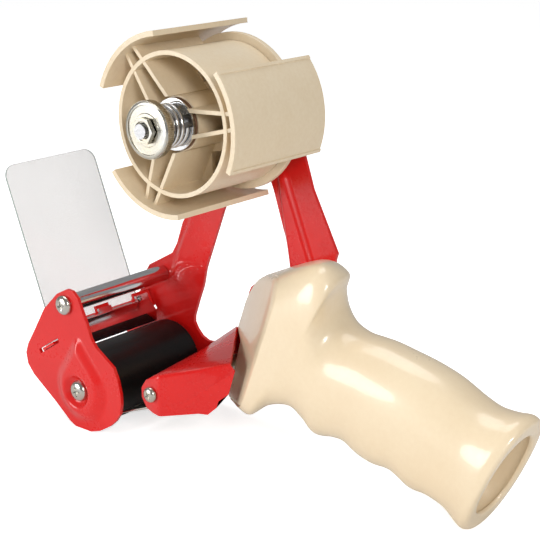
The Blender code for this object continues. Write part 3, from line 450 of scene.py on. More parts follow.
def knurlTree():
    # straight ridges round a wheel's rim, its axis along Y
    tree = newShapeTree("rimRidges", {"Ridges": "Int", "Rim Radius": "Float", "Ridge Length": "Float",
                                      "Ridge Radius": "Float"})
    start = tree.nodes.new("NodeGroupInput")
    circle = tree.nodes.new("GeometryNodeMeshCircle")
    ridge = tree.nodes.new("GeometryNodeMeshCylinder")
    ridge.inputs["Vertices"].default_value = dragNut["ridgeSides"]
    scatter = tree.nodes.new("GeometryNodeInstanceOnPoints")
    turn = tree.nodes.new("GeometryNodeTransform")
    turn.inputs["Rotation"].default_value = (math.pi / 2, 0, 0)
    link = tree.links.new
    link(start.outputs["Ridges"], circle.inputs["Vertices"])
    link(start.outputs["Rim Radius"], circle.inputs["Radius"])
    link(start.outputs["Ridge Radius"], ridge.inputs["Radius"])
    link(start.outputs["Ridge Length"], ridge.inputs["Depth"])
    link(circle.outputs["Mesh"], scatter.inputs["Points"])
    link(ridge.outputs["Mesh"], scatter.inputs["Instance"])
    link(scatter.outputs["Instances"], turn.inputs["Geometry"])
    endShapeTree(tree, turn.outputs["Geometry"])
    return tree


def makeDragNut():
    low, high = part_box("thumb_wheel")
    centre = (low + high) / 2
    rim = (high.x - low.x) / 2 - dragNut["ridgeDepth"]
    insertLow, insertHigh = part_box("wheel_insert")
    bore = min((insertHigh.x - insertLow.x) / 2, dragNut["hubStepRadius"] * dragNut["boreShare"])
    edge = dragNut["rimRound"]
    step = dragNut["faceStep"]
    profile = [
        (bore, low.y + step), (dragNut["hubStepRadius"], low.y + step),
        (dragNut["hubStepRadius"] + step, low.y + 2 * step), (dragNut["faceStepRadius"], low.y + 2 * step),
        (dragNut["faceStepRadius"] + step, low.y), (rim - edge, low.y), (rim - edge / 3, low.y + edge / 3),
        (rim, low.y + edge), (rim, high.y - edge), (rim - edge / 3, high.y - edge / 3),
        (rim - edge, high.y), (bore, high.y),
    ]
    body = latheMesh("dragNutBody", profile, (centre.x, centre.z), dragNut["sides"])
    smoothShade(body, dragNut["shadeAngle"])
    wheel = meshObject("dragNutWheel", body)
    ridges = meshObject("dragNutRidges", bpy.data.meshes.new("ridgeSeed"))
    values = {"Ridges": dragNut["ridges"], "Rim Radius": rim, "Ridge Radius": dragNut["ridgeDepth"],
              "Ridge Length": high.y - low.y - 2 * edge}
    mesh = runShapeTree(ridges, knurlTree(), values)
    mesh.transform(Matrix.Translation(centre))
    smoothShade(mesh, dragNut["shadeAngle"])
    settle(wheel, "thumb_nut", "zinc", ["thumb_wheel"])
    settle(ridges, "thumb_nut", "zinc", [])


springLook = {
    "turns": 3.0,
    "pointsPerTurn": 48,
    "wireSides": 12,
    "wireRadius": 0.00085,
    "shadeAngle": 40,
}


def springTree():
    # round wire in one helix, its axis along Z until it is placed
    tree = newShapeTree("coilSpring", {"Turns": "Float", "Points Per Turn": "Int", "Coil Radius": "Float",
                                       "Height": "Float", "Wire Radius": "Float", "Wire Sides": "Int"})
    start = tree.nodes.new("NodeGroupInput")
    spiral = tree.nodes.new("GeometryNodeCurveSpiral")
    ring = tree.nodes.new("GeometryNodeCurvePrimitiveCircle")
    tube = tree.nodes.new("GeometryNodeCurveToMesh")
    tube.inputs["Fill Caps"].default_value = True
    link = tree.links.new
    link(start.outputs["Points Per Turn"], spiral.inputs["Resolution"])
    link(start.outputs["Turns"], spiral.inputs["Rotations"])
    link(start.outputs["Coil Radius"], spiral.inputs["Start Radius"])
    link(start.outputs["Coil Radius"], spiral.inputs["End Radius"])
    link(start.outputs["Height"], spiral.inputs["Height"])
    link(start.outputs["Wire Sides"], ring.inputs["Resolution"])
    link(start.outputs["Wire Radius"], ring.inputs["Radius"])
    link(spiral.outputs["Curve"], tube.inputs["Curve"])
    link(ring.outputs["Curve"], tube.inputs["Profile Curve"])
    endShapeTree(tree, tube.outputs["Mesh"])
    return tree


def makeDragSpring():
    low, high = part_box("drag_spring")
    size = high - low
    wire = springLook["wireRadius"]
    spring = meshObject("dragSpringWire", bpy.data.meshes.new("springSeed"))
    values = {"Turns": springLook["turns"], "Points Per Turn": springLook["pointsPerTurn"],
              "Coil Radius": size.x / 2 - wire, "Height": size.y - 2 * wire, "Wire Radius": wire,
              "Wire Sides": springLook["wireSides"]}
    mesh = runShapeTree(spring, springTree(), values)
    centre = (low + high) / 2
    mesh.transform(Matrix.Rotation(-math.pi / 2, 4, "X"))
    mesh.transform(Matrix.Translation((centre.x, low.y + wire, centre.z)))
    smoothShade(mesh, springLook["shadeAngle"])
    settle(spring, "frame", "chrome", ["drag_spring"])
    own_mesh(spring)


crossHead = {
    # the turned form in shares of the head's radius and height, from its crown to the shank's end
    "profile": [(0, -1.0), (0.30, -0.985), (0.52, -0.93), (0.72, -0.82), (0.88, -0.64), (0.97, -0.40),
                (1.0, -0.12), (1.0, 0.0), (0.36, 0.0), (0.36, 2.2), (0, 2.2)],
    "sides": 40,
    # half the wings' width and reach, at the top of the cutter and at the recess's floor
    "wingWidths": (1 / 8, 1 / 12),
    "wingReaches": (0.56, 0.252),
    "cutterHeights": (1.1, 0.38),
    "edge": 0.05,
    "shadeAngle": 40,
    "sizeFactor": 1.0,
}


def crossHeadTemplate():
    # one pan head of radius 1 and height 1 with its cross recess, along Z, for the screw tree to place
    mesh = latheMesh("crossHead", crossHead["profile"], (0, 0), crossHead["sides"])
    mesh.transform(Matrix.Rotation(-math.pi / 2, 4, "X"))
    head = meshObject("crossHeadSeed", mesh)
    cutters = []
    for turn in (0, math.pi / 2):
        shape = bmesh.new()
        bmesh.ops.create_cube(shape, size=1)
        for vert in shape.verts:
            end = 0 if vert.co.z > 0 else 1
            vert.co.x = math.copysign(crossHead["wingReaches"][end], vert.co.x)
            vert.co.y = math.copysign(crossHead["wingWidths"][end], vert.co.y)
            vert.co.z = crossHead["cutterHeights"][end]
        bmesh.ops.rotate(shape, verts=shape.verts, matrix=Matrix.Rotation(turn, 3, "Z"))
        cutter = meshObject("crossCutter", shapeMesh(shape, "crossCutter"))
        cutters.append(cutter)
        cutWith(head, cutter, "DIFFERENCE")
    roundEdges(head, crossHead["edge"], crossHead["shadeAngle"])
    bakedMesh(head)
    for cutter in cutters:
        bpy.data.objects.remove(cutter)
    smoothShade(head.data, crossHead["shadeAngle"])
    return head


def screwTree(template):
    # one screw at each point, sized and turned by the point's own values
    tree = newShapeTree("crossHeadScrews", {"Size Factor": "Float"})
    start = tree.nodes.new("NodeGroupInput")
    source = tree.nodes.new("GeometryNodeObjectInfo")
    source.inputs["Object"].default_value = template
    size = tree.nodes.new("GeometryNodeInputNamedAttribute")
    size.data_type = "FLOAT_VECTOR"
    size.inputs["Name"].default_value = "headSize"
    turn = tree.nodes.new("GeometryNodeInputNamedAttribute")
    turn.data_type = "FLOAT_VECTOR"
    turn.inputs["Name"].default_value = "headTurn"
    factor = tree.nodes.new("ShaderNodeVectorMath")
    factor.operation = "SCALE"
    scatter = tree.nodes.new("GeometryNodeInstanceOnPoints")
    link = tree.links.new
    link(size.outputs["Attribute"], factor.inputs[0])
    link(start.outputs["Size Factor"], factor.inputs["Scale"])
    link(start.outputs["Geometry"], scatter.inputs["Points"])
    link(source.outputs["Geometry"], scatter.inputs["Instance"])
    link(factor.outputs[0], scatter.inputs["Scale"])
    link(turn.outputs["Attribute"], scatter.inputs["Rotation"])
    endShapeTree(tree, scatter.outputs["Instances"])
    return tree


screwSpins = {
    "rod_screw_1": 20, "roller_screw_1": 12, "bracket_screw_1": 32,
    "rod_screw_2": 65, "roller_screw_2": 5, "bracket_screw_2": 48,
    "handle_screw_1": 15, "handle_screw_2": 70, "handle_screw_3": 38,
}
screwHeights = {"rod": 0.0024, "roller": 0.0026, "bracket": 0.0020, "handle": 0.0022}


def makeScrews():
    template = crossHeadTemplate()
    seed = bpy.data.meshes.new("screwPlaces")
    names = sorted(screwSpins)
    places = []
    sizes = []
    turns = []
    for name in names:
        low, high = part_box(name)
        middle = (low + high) / 2
        radius = (high.x - low.x) / 2
        height = screwHeights[name.split("_")[0]]
        near = name.endswith("_1") and not name.startswith("handle")
        spin = math.radians(screwSpins[name])
        places.append((middle.x, low.y + height if near else high.y - height, middle.z))
        sizes.append((radius, radius, height))
        turns.append((math.pi / 2, -spin, 0) if near else (-math.pi / 2, spin, 0))
    seed.from_pydata(places, [], [])
    for label, values in (("headSize", sizes), ("headTurn", turns)):
        attribute = seed.attributes.new(label, "FLOAT_VECTOR", "POINT")
        attribute.data.foreach_set("vector", [number for value in values for number in value])
    screws = meshObject("crossHeadScrews", seed)
    runShapeTree(screws, screwTree(template), {"Size Factor": crossHead["sizeFactor"]})
    bpy.data.objects.remove(template)
    settle(screws, "frame", "zinc", names)


makeDragNut()
makeDragSpring()
makeScrews()
print("the drag nut, spring and screws are made")


gripShape = {
    "length": 0.140,
    "anchor": (0.01875, -0.1),     # from the reel's axle, x and z
    "plateSeat": 0.0307,
    "topSquare": 3.2,
    "pullFall": 0.3,
    "points": 96,
    "rowSteps": 6,
    "frontRound": 0.0028,
    "mouthRound": 0.0016,
    "mouthSideWall": 0.0042,
    "mouthEndWall": 0.0078,
    "boreSideWall": 0.005,
    "boreEndWall": 0.0075,
    "boreRows": 9,
    "roundSteps": 5,
    "pocketCorner": (0.0015, -0.102375),
    "pocketReach": 0.1,
    "pocketHalfWidth": 0.04,
    "shadeAngle": 40,
    # one section a row, in shares of length: top x and z, bottom x and z, half width on the near side,
    # then reach towards the plate, squareness, how far x and z run back for each unit of y,
    # and how far the far side is pulled forwards
    "sections": [
        (0.0882, 0.2643, -0.0661, -0.1714, 0.125, 1.050, 9.0, 1.14, 0.42, 0.00),
        (0.2803, 0.3500, 0.0304, -0.1750, 0.129, 1.050, 6.0, 0.60, 0.26, 0.36),
        (0.3661, 0.3250, 0.1175, -0.1221, 0.130, 1.000, 3.8, 0.30, 0.12, 0.78),
        (0.3561, 0.2714, 0.2054, -0.1029, 0.127, 0.880, 3.0, 0.15, 0.05, 1.00),
        (0.3589, 0.2214, 0.2661, -0.1321, 0.124, 0.720, 2.6, 0.05, 0.00, 0.86),
        (0.3804, 0.1843, 0.3089, -0.1686, 0.122, 0.630, 2.4, 0.00, 0.00, 0.54),
        (0.4268, 0.1643, 0.3661, -0.1629, 0.121, 0.575, 2.3, 0.00, 0.00, 0.20),
        (0.4768, 0.1600, 0.4132, -0.1650, 0.121, 0.557, 2.3, 0.00, 0.00, 0.00),
        (0.5232, 0.1571, 0.4589, -0.1900, 0.122, 0.557, 2.3, 0.00, 0.00, 0.00),
        (0.5889, 0.1450, 0.5089, -0.2043, 0.123, 0.560, 2.3, 0.00, 0.00, 0.00),
        (0.6604, 0.1300, 0.5739, -0.2071, 0.122, 0.557, 2.3, 0.00, 0.00, 0.00),
        (0.7375, 0.1064, 0.6375, -0.2400, 0.121, 0.553, 2.3, 0.00, 0.00, 0.00),
        (0.8139, 0.0686, 0.6946, -0.2443, 0.120, 0.548, 2.3, 0.00, 0.00, 0.00),
        (0.8639, 0.0507, 0.7546, -0.2643, 0.120, 0.548, 2.3, 0.00, 0.00, 0.00),
        (0.9161, 0.0493, 0.7946, -0.2993, 0.127, 0.580, 2.2, 0.00, 0.00, 0.00),
        (0.9589, 0.0529, 0.8125, -0.3086, 0.130, 0.594, 2.2, 0.00, 0.00, 0.00),
        (0.9846, 0.0414, 0.8339, -0.3029, 0.124, 0.566, 2.2, 0.00, 0.00, 0.00),
    ],
}


def gripRing(row, sideWall, endWall):
    topX, topZ, lowX, lowZ, near, far, square, slant, drop, pull = row
    length = gripShape["length"]
    middle = Vector((topX + lowX, topZ + lowZ)) * length / 2
    half = Vector((topX - lowX, topZ - lowZ)) * length / 2
    half -= half.normalized() * endWall
    seat = gripShape["plateSeat"]
    ring = []
    for index in range(gripShape["points"]):
        angle = 2 * math.pi * index / gripShape["points"]
        corner = min(square, gripShape["topSquare"]) if math.sin(angle) > 0 else square
        side = math.copysign(abs(math.cos(angle)) ** (2 / corner), math.cos(angle))
        rise = math.copysign(abs(math.sin(angle)) ** (2 / corner), math.sin(angle))
        reach = near * length - sideWall if side > 0 else far * seat - sideWall
        y = min(-side * reach, seat - sideWall)
        pulled = pull * max(y, 0) ** 2 / seat
        x = gripShape["anchor"][0] + middle[0] + half[0] * rise - slant * y - pulled
        z = gripShape["anchor"][1] + middle[1] + half[1] * rise - drop * y - gripShape["pullFall"] * pulled
        ring.append(Vector((x, y, z)) + axleCentre)
    return ring


def rowBetween(rows, index, t):
    # a smooth curve through the rows' values, the share t of the way from one row to the next
    before = rows[max(index - 1, 0)]
    after = rows[min(index + 2, len(rows) - 1)]
    row = []
    for a, b, c, d in zip(before, rows[index], rows[index + 1], after):
        bend = (c - a) * t + (2 * a - 5 * b + 4 * c - d) * t ** 2 + (3 * b - a - 3 * c + d) * t ** 3
        row.append(b + bend / 2)
    return tuple(row)


def ringMiddle(ring):
    return sum(ring, Vector()) / len(ring)


def rowStep(first, second):
    # from one section's middle to the next one's
    return ringMiddle(gripRing(second, 0, 0)) - ringMiddle(gripRing(first, 0, 0))


def quarterTurn():
    # how far in and how far back each ring lies where an edge is rounded, in shares of the radius,
    # from the flank round to the end face
    steps = gripShape["roundSteps"]
    angles = [math.pi / 2 * step / steps for step in range(steps + 1)]
    return [(1 - math.cos(angle), 1 - math.sin(angle)) for angle in angles]


def outsideRings(rows, front):
    # from the front's end face to the mouth
    rings = []
    radius = gripShape["frontRound"]
    for inShare, backShare in reversed(quarterTurn()):
        ring = gripRing(rows[0], radius * inShare, radius * inShare)
        rings.append([point - front * (radius * backShare) for point in ring])
    steps = gripShape["rowSteps"]
    for index in range(len(rows) - 1):
        for step in range(steps):
            # the rounded front and mouth take the place of the first ring and the last few
            if index == 0 and step == 0:
                continue
            if index == len(rows) - 2 and step > steps / 2:
                continue
            rings.append(gripRing(rowBetween(rows, index, step / steps), 0, 0))
    return rings


def mouthRings(rows, span):
    # round the lip from the outside to the inside
    mouth = span.normalized()
    radius = gripShape["mouthRound"]
    rings = []
    for inShare, backShare in quarterTurn():
        row = rowBetween(rows, len(rows) - 2, 1 - radius * backShare / span.length)
        rings.append(gripRing(row, radius * inShare, radius * inShare))
    for backShare, inShare in quarterTurn():
        inset = radius * inShare
        ring = gripRing(rows[-1], gripShape["mouthSideWall"] - inset, gripShape["mouthEndWall"] - inset)
        rings.append([point - mouth * (radius * backShare) for point in ring])
    return rings


def boreRings(rows):
    # up the hollow from the mouth
    steps = gripShape["rowSteps"]
    rings = []
    for index in range(len(rows) - 2, -1, -1):
        for step in range(steps - 1, -1, -1):
            if index == len(rows) - 2 and step > steps / 2:
                continue
            row = rowBetween(rows, index, step / steps)
            rings.append(gripRing(row, gripShape["boreSideWall"], gripShape["boreEndWall"]))
    return rings


def pocketCutter():
    # a block that reaches down and forwards from the pocket's inner corner
    shape = bmesh.new()
    bmesh.ops.create_cube(shape, size=1)
    cornerX = gripShape["pocketCorner"][0] + axleCentre.x
    cornerZ = gripShape["pocketCorner"][1] + axleCentre.z
    for vert in shape.verts:
        vert.co.x = cornerX if vert.co.x > 0 else cornerX - gripShape["pocketReach"]
        vert.co.y = math.copysign(gripShape["pocketHalfWidth"], vert.co.y)
        vert.co.z = cornerZ if vert.co.z > 0 else cornerZ - gripShape["pocketReach"]
    return meshObject("gripPocket", shapeMesh(shape, "gripPocket"))


def makeGrip():
    rows = gripShape["sections"]
    rings = outsideRings(rows, -rowStep(rows[0], rows[1]).normalized())
    rings += mouthRings(rows, rowStep(rows[-2], rows[-1]))
    rings += boreRings(rows[-gripShape["boreRows"]:])
    shape = bmesh.new()
    grid = [[shape.verts.new(point) for point in ring] for ring in rings]
    count = gripShape["points"]
    for first, second in zip(grid, grid[1:]):
        for index in range(count):
            after = (index + 1) % count
            shape.faces.new((first[index], first[after], second[after], second[index]))
    shape.faces.new(grid[0][::-1])
    shape.faces.new(grid[-1])
    bmesh.ops.recalc_face_normals(shape, faces=shape.faces)
    grip = meshObject("moulded_grip", shapeMesh(shape, "gripSkin"))
    cutter = pocketCutter()
    cutWith(grip, cutter, "DIFFERENCE")
    bakedMesh(grip)
    bpy.data.objects.remove(cutter)
    smoothShade(grip.data, gripShape["shadeAngle"])
    settle(grip, "frame", "cream_plastic", ["handle_grip"])


makeGrip()
print("the grip is moulded")


paintedSheet = {
    "thickness": 0.0016,
    "gridStep": 0.0006,
    "edgeRound": 0.0005,
    "nearOuter": -0.0315,
    "nearInner": -0.0299,
    "farInner": 0.0310,
    "farOuter": 0.0326,
    "sharpAngle": 50,
    "marginSteps": 3,
    "deepest": 0.008,
}

cheekForm = {
    # teardrop between the roller's end and a point above it, from the reel's axle, x and z
    "roundCentre": (-0.0509, -0.1240),
    "roundRadius": 0.0158,
    "pointCentre": (-0.0522, -0.1035),
    "pointRadius": 0.0034,
    "height": 0.0026,
    "slope": 0.0062,
    "dimpleCentre": (-0.0521, -0.1250),
    "dimpleRadius": 0.0049,
    "dimpleSlope": 0.0034,
    "dimpleDepth": 0.0022,
    "toe": 0.0008,
}

# a face is on a CAD sheet's flat side when it looks along Y this squarely and lies this near its level
sheetFace = {"facing": 0.99, "slack": 0.00005}


def smoothStep(low, high, value):
    t = min(max((value - low) / (high - low), 0.0), 1.0)
    return t * t * (3 - 2 * t)


def teardropDistance(x, z):
    # signed distance to a round body that tapers to a small round point; negative inside
    a = Vector(cheekForm["roundCentre"])
    b = Vector(cheekForm["pointCentre"])
    big = cheekForm["roundRadius"]
    small = cheekForm["pointRadius"]
    axis = b - a
    length = axis.length
    axis.normalize()
    p = Vector((x, z)) - a
    along = p.dot(axis)
    across = abs(p.x * axis.y - p.y * axis.x)
    lean = (big - small) / length
    rise = math.sqrt(max(1 - lean * lean, 0))
    k = -lean * across + rise * along
    if k < 0:
        return p.length - big
    if k > rise * length:
        return (Vector((x, z)) - b).length - small
    return across * rise + along * lean - big


def cheekBulge(x, z):
    inside = -teardropDistance(x, z)
    lift = cheekForm["height"] * smoothStep(-cheekForm["toe"], cheekForm["slope"], inside)
    away = (Vector((x, z)) - Vector(cheekForm["dimpleCentre"])).length
    reach = cheekForm["dimpleRadius"]
    dimple = 1 - smoothStep(reach, reach + cheekForm["dimpleSlope"], away)
    return -(lift - min(lift, cheekForm["dimpleDepth"]) * dimple)


def sheetOutlines(name, y):
    # the loops where a CAD sheet's flat face at y ends, longest first, as x and z from the reel's axle
    shape = bmesh.new()
    shape.from_mesh(nodes[name].data)
    bmesh.ops.remove_doubles(shape, verts=shape.verts, dist=softEdges["mergeDistance"])
    level = y + axleCentre.y
    flat = {face for face in shape.faces if abs(face.normal.y) > sheetFace["facing"]
            and all(abs(vert.co.y - level) < sheetFace["slack"] for vert in face.verts)}
    nextOf = {}
    for face in flat:
        for loop in face.loops:
            others = [other for other in loop.edge.link_faces if other in flat]
            if len(others) == 1:
                nextOf.setdefault(loop.vert.index, []).append(loop.link_loop_next.vert.index)
    shape.verts.ensure_lookup_table()
    places = {vert.index: (vert.co.x - axleCentre.x, vert.co.z - axleCentre.z) for vert in shape.verts}
    loops = []
    while nextOf:
        start = next(iter(nextOf))
        chain = [start]
        while chain[-1] in nextOf:
            options = nextOf[chain[-1]]
            following = options.pop()
            if not options:
                del nextOf[chain[-1]]
            if following == start:
                break
            chain.append(following)
        loops.append([places[index] for index in chain])
    shape.free()
    return sorted(loops, key=len, reverse=True)


def prismMesh(loops, low, high):
    curve = bpy.data.curves.new("sheetOutline", "CURVE")
    curve.dimensions = "2D"
    curve.fill_mode = "BOTH"
    curve.extrude = (high - low) / 2
    for loop in loops:
        spline = curve.splines.new("POLY")
        spline.points.add(len(loop) - 1)
        for point, (x, z) in zip(spline.points, loop):
            point.co = (x + axleCentre.x, z + axleCentre.z, 0, 1)
        spline.use_cyclic_u = True
    guide = meshObject("sheetOutline", curve)
    bpy.context.view_layer.update()
    mesh = bpy.data.meshes.new_from_object(guide.evaluated_get(bpy.context.evaluated_depsgraph_get()))
    middle = axleCentre.y + (low + high) / 2
    mesh.transform(Matrix.Translation((0, middle, 0)) @ Matrix.Rotation(math.pi / 2, 4, "X"))
    bpy.data.objects.remove(guide)
    shape = bmesh.new()
    shape.from_mesh(mesh)
    bmesh.ops.remove_doubles(shape, verts=shape.verts, dist=softEdges["mergeDistance"])
    bmesh.ops.recalc_face_normals(shape, faces=shape.faces)
    return shapeMesh(shape, "sheetTrim")


def layerRim(layer):
    # the outermost verts of a grid, once round
    right = [line[-1] for line in layer[1:]]
    left = [line[0] for line in layer[-2:0:-1]]
    return layer[0] + right + layer[-1][-2::-1] + left


def pressedSheet(name, node, near, far, bulge):
    # a fine grid on each side, pressed by the bulge and trimmed to the CAD sheet's outline and holes
    loops = sheetOutlines(node, far)
    step = paintedSheet["gridStep"]
    margin = paintedSheet["marginSteps"] * step
    lowX = min(x for x, z in loops[0]) - margin
    lowZ = min(z for x, z in loops[0]) - margin
    columns = int((max(x for x, z in loops[0]) + margin - lowX) / step) + 1
    rows = int((max(z for x, z in loops[0]) + margin - lowZ) / step) + 1
    shape = bmesh.new()
    layers = []
    for y in (near, far):
        layer = []
        for row in range(rows):
            line = []
            for column in range(columns):
                x = lowX + column * step
                z = lowZ + row * step
                line.append(shape.verts.new(Vector((x, y + bulge(x, z), z)) + axleCentre))
            layer.append(line)
        layers.append(layer)
    for layer in layers:
        for first, second in zip(layer, layer[1:]):
            for index in range(columns - 1):
                shape.faces.new((first[index], first[index + 1], second[index + 1], second[index]))
    rim, under = [layerRim(layer) for layer in layers]
    for index in range(len(rim)):
        after = (index + 1) % len(rim)
        shape.faces.new((rim[index], rim[after], under[after], under[index]))
    bmesh.ops.recalc_face_normals(shape, faces=shape.faces)
    piece = meshObject(name, shapeMesh(shape, name))
    deepest = paintedSheet["deepest"]
    prism = meshObject("sheetTrim", prismMesh(loops, near - deepest, far + deepest))
    cutWith(piece, prism, "INTERSECT")
    roundEdges(piece, paintedSheet["edgeRound"], paintedSheet["sharpAngle"])
    bakedMesh(piece)
    bpy.data.objects.remove(prism)
    smoothShade(piece.data, paintedSheet["sharpAngle"])
    settle(piece, "frame", "red_paint", [node])


armForm = {
    # creases pressed into the plate's two arms, from the reel's axle: x and z at the two ends
    "rearLeft": ((0.0110, -0.0280), (0.0182, -0.0690)),
    "rearRight": ((0.0140, -0.0260), (0.0315, -0.0690)),
    "frontLine": ((-0.0300, -0.0330), (-0.0500, -0.0760)),
    "height": 0.0022,
    "rearSlope": 0.0016,
    "frontSlope": 0.0022,
    # in x, where the rear arm starts and where the front arm ends
    "rearFrom": -0.002,
    "frontTo": -0.018,
    # in z, where each crease starts, is full, starts to fade and is gone
    "rearEnds": (-0.0745, -0.0700, -0.0300, -0.0250),
    "frontEnds": (-0.0900, -0.0760, -0.0420, -0.0300),
}


def lineSide(ends, x, z):
    # distance from a line through two places; positive on its rear side
    a = Vector(ends[0])
    way = (Vector(ends[1]) - a).normalized()
    p = Vector((x, z)) - a
    return -(p.x * way.y - p.y * way.x)


def fadedEnds(ends, z):
    start, full, fading, gone = ends
    return smoothStep(start, full, z) * (1 - smoothStep(fading, gone, z))


def plateBulge(x, z):
    height = 0.0
    if x > armForm["rearFrom"]:
        slope = armForm["rearSlope"]
        left = lineSide(armForm["rearLeft"], x, z)
        right = lineSide(armForm["rearRight"], x, z)
        band = smoothStep(-slope, slope, left) * (1 - smoothStep(-slope, slope, right))
        height += armForm["height"] * band * fadedEnds(armForm["rearEnds"], z)
    if x < armForm["frontTo"]:
        slope = armForm["frontSlope"]
        fold = smoothStep(-slope, slope, lineSide(armForm["frontLine"], x, z))
        height += armForm["height"] * fold * fadedEnds(armForm["frontEnds"], z)
    return -height


pressedSheet("pressed_cheek", "near_cheek", paintedSheet["nearOuter"], paintedSheet["nearInner"], cheekBulge)
pressedSheet("pressed_plate", "side_frame", paintedSheet["farInner"], paintedSheet["farOuter"], plateBulge)
print("the cheek and the plate are pressed")


bracketForm = {
    # the folded sheet's middle surface, in shares of the size that the frame follows
    "size": 0.125,
    "nearY": -0.0307,
    "farY": 0.0299,
    "turn": 0.6,
    "foldRound": 0.0026,
    "cornerRound": 0.0024,
    "foldSteps": 4,
    "foldAngle": 18.0,
    "foldProfile": 0.5,
    "webRows": 6,
    "flat": [(-0.0280, -0.8536), (-0.0496, -0.8600), (-0.0848, -0.8768), (-0.1068, -0.9088),
             (-0.1068, -0.9440), (-0.0848, -0.9784), (-0.0560, -0.9900), (-0.0280, -0.9952)],
    "turned": [(0.0872, -0.9768), (0.1144, -0.9784), (0.1400, -0.9520),
               (0.1464, -0.9272), (0.1760, -0.9008), (0.1944, -0.8192), (0.1816, -0.7976)],
    "webFar": [(-0.2280, -0.9260), (-0.2120, -0.9133), (-0.1000, -0.8240)],
    "tab": [(-0.1040, -0.9560), (-0.1880, -0.9860), (-0.2280, -0.9700)],
}


def makeBracket():
    size = bracketForm["size"]
    farY = bracketForm["farY"]
    turnStart = bracketForm["flat"][0][0] * size
    shape = bmesh.new()

    def place(share, y):
        return Vector((share[0] * size, y, share[1] * size)) + axleCentre

    def flangeVert(share):
        y = bracketForm["nearY"] + max(share[0] * size - turnStart, 0) * bracketForm["turn"]
        return shape.verts.new(place(share, y))

    flat = [flangeVert(share) for share in bracketForm["flat"]]
    turned = [flangeVert(share) for share in bracketForm["turned"]]
    shape.faces.new(flat)
    shape.faces.new([flat[0], flat[-1]] + turned)
    row = [flat[1], flat[0], turned[-1]]
    starts = [vert.co.copy() for vert in row]
    ends = [place(share, farY) for share in bracketForm["webFar"]]
    for step in range(1, bracketForm["webRows"] + 1):
        share = step / bracketForm["webRows"]
        newRow = [shape.verts.new(start.lerp(end, share)) for start, end in zip(starts, ends)]
        for index in range(len(row) - 1):
            shape.faces.new((row[index], row[index + 1], newRow[index + 1], newRow[index]))
        row = newRow
    shape.faces.new(row + [shape.verts.new(place(share, farY)) for share in bracketForm["tab"]])
    bmesh.ops.recalc_face_normals(shape, faces=shape.faces)
    limit = math.radians(bracketForm["foldAngle"])
    folds = [edge for edge in shape.edges if len(edge.link_faces) == 2 and edge.calc_face_angle() > limit]
    rounding = {"segments": bracketForm["foldSteps"], "profile": bracketForm["foldProfile"],
                "clamp_overlap": True}
    bmesh.ops.bevel(shape, geom=folds, offset=bracketForm["foldRound"], affect="EDGES", **rounding)
    corners = [vert for vert in shape.verts if len(vert.link_edges) == 2]
    bmesh.ops.bevel(shape, geom=corners, offset=bracketForm["cornerRound"], affect="VERTICES", **rounding)
    bmesh.ops.recalc_face_normals(shape, faces=shape.faces)
    bracket = meshObject("folded_bracket", shapeMesh(shape, "foldedBracket"))
    wall = bracket.modifiers.new("wall", "SOLIDIFY")
    wall.thickness = paintedSheet["thickness"]
    wall.offset = 0
    roundEdges(bracket, paintedSheet["edgeRound"], paintedSheet["sharpAngle"])
    bakedMesh(bracket)
    smoothShade(bracket.data, paintedSheet["sharpAngle"])
    settle(bracket, "frame", "red_paint", ["rear_bracket"])


makeBracket()
print("the bracket is folded")


def addCamera():
    data = bpy.data.cameras.new("photoCamera")
    data.lens = cameraSettings["lens"]
    data.sensor_width = cameraSettings["sensor"]
    camera = bpy.data.objects.new("photoCamera", data)
    tilt = math.radians(90 - cameraSettings["elevation"])
    camera.rotation_euler = (tilt, 0, math.radians(cameraSettings["azimuth"]))
    camera.location = cameraSettings["place"]
    scene.collection.objects.link(camera)
    scene.camera = camera


def addAreaLight(name, place, power, size):
    data = bpy.data.lights.new(name, "AREA")
    data.shape = "DISK"
    data.size = size
    data.energy = power
    light = bpy.data.objects.new(name, data)
    light.location = place
    aim = Vector(studio["aim"]) - Vector(place)
    light.rotation_euler = aim.to_track_quat("-Z", "Y").to_euler()
    scene.collection.objects.link(light)


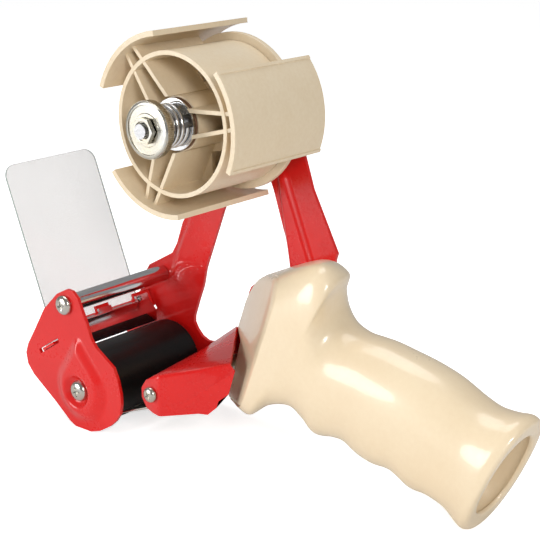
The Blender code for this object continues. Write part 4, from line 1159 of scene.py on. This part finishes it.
def seenRays(tree):
    # 1 for what the camera sees, straight or through the clear sheet, and 0 for rays that only light
    rays = tree.nodes.new("ShaderNodeLightPath")
    seen = tree.nodes.new("ShaderNodeMath")
    seen.operation = "MAXIMUM"
    tree.links.new(rays.outputs["Is Camera Ray"], seen.inputs[0])
    tree.links.new(rays.outputs["Is Transmission Ray"], seen.inputs[1])
    return seen.outputs[0]


def addFloor():
    half = studio["floorSize"] / 2
    mesh = bpy.data.meshes.new("floor")
    corners = [(-half, -half, 0), (half, -half, 0), (half, half, 0), (-half, half, 0)]
    mesh.from_pydata(corners, [], [(0, 1, 2, 3)])
    floor = meshObject("floor", mesh)
    paint = bpy.data.materials.new("floorPaint")
    paint.use_nodes = True
    tree = paint.node_tree
    shader = tree.nodes["Principled BSDF"]
    shader.inputs["Base Color"].default_value = (*studio["floorColour"], 1.0)
    shader.inputs["Roughness"].default_value = studio["floorRoughness"]
    shader.inputs["Emission Color"].default_value = white
    glow = tree.nodes.new("ShaderNodeMath")
    glow.operation = "MULTIPLY"
    glow.inputs[1].default_value = studio["floorGlow"]
    tree.links.new(seenRays(tree), glow.inputs[0])
    tree.links.new(glow.outputs[0], shader.inputs["Emission Strength"])
    mesh.materials.append(paint)


def addWorld():
    # soft light from all round, and plain white where the camera sees past the floor
    world = bpy.data.worlds.new("softRoom")
    world.use_nodes = True
    tree = world.node_tree
    roomLight = tree.nodes["Background"]
    roomLight.inputs["Color"].default_value = white
    roomLight.inputs["Strength"].default_value = studio["worldStrength"]
    backdrop = tree.nodes.new("ShaderNodeBackground")
    backdrop.inputs["Color"].default_value = white
    mix = tree.nodes.new("ShaderNodeMixShader")
    tree.links.new(seenRays(tree), mix.inputs[0])
    tree.links.new(roomLight.outputs[0], mix.inputs[1])
    tree.links.new(backdrop.outputs[0], mix.inputs[2])
    tree.links.new(mix.outputs[0], tree.nodes["World Output"].inputs["Surface"])
    scene.world = world


addCamera()
addWorld()
addFloor()
for lamp in studio["lamps"]:
    addAreaLight(*lamp)
scene.view_settings.view_transform = "Standard"
print("the studio is up")
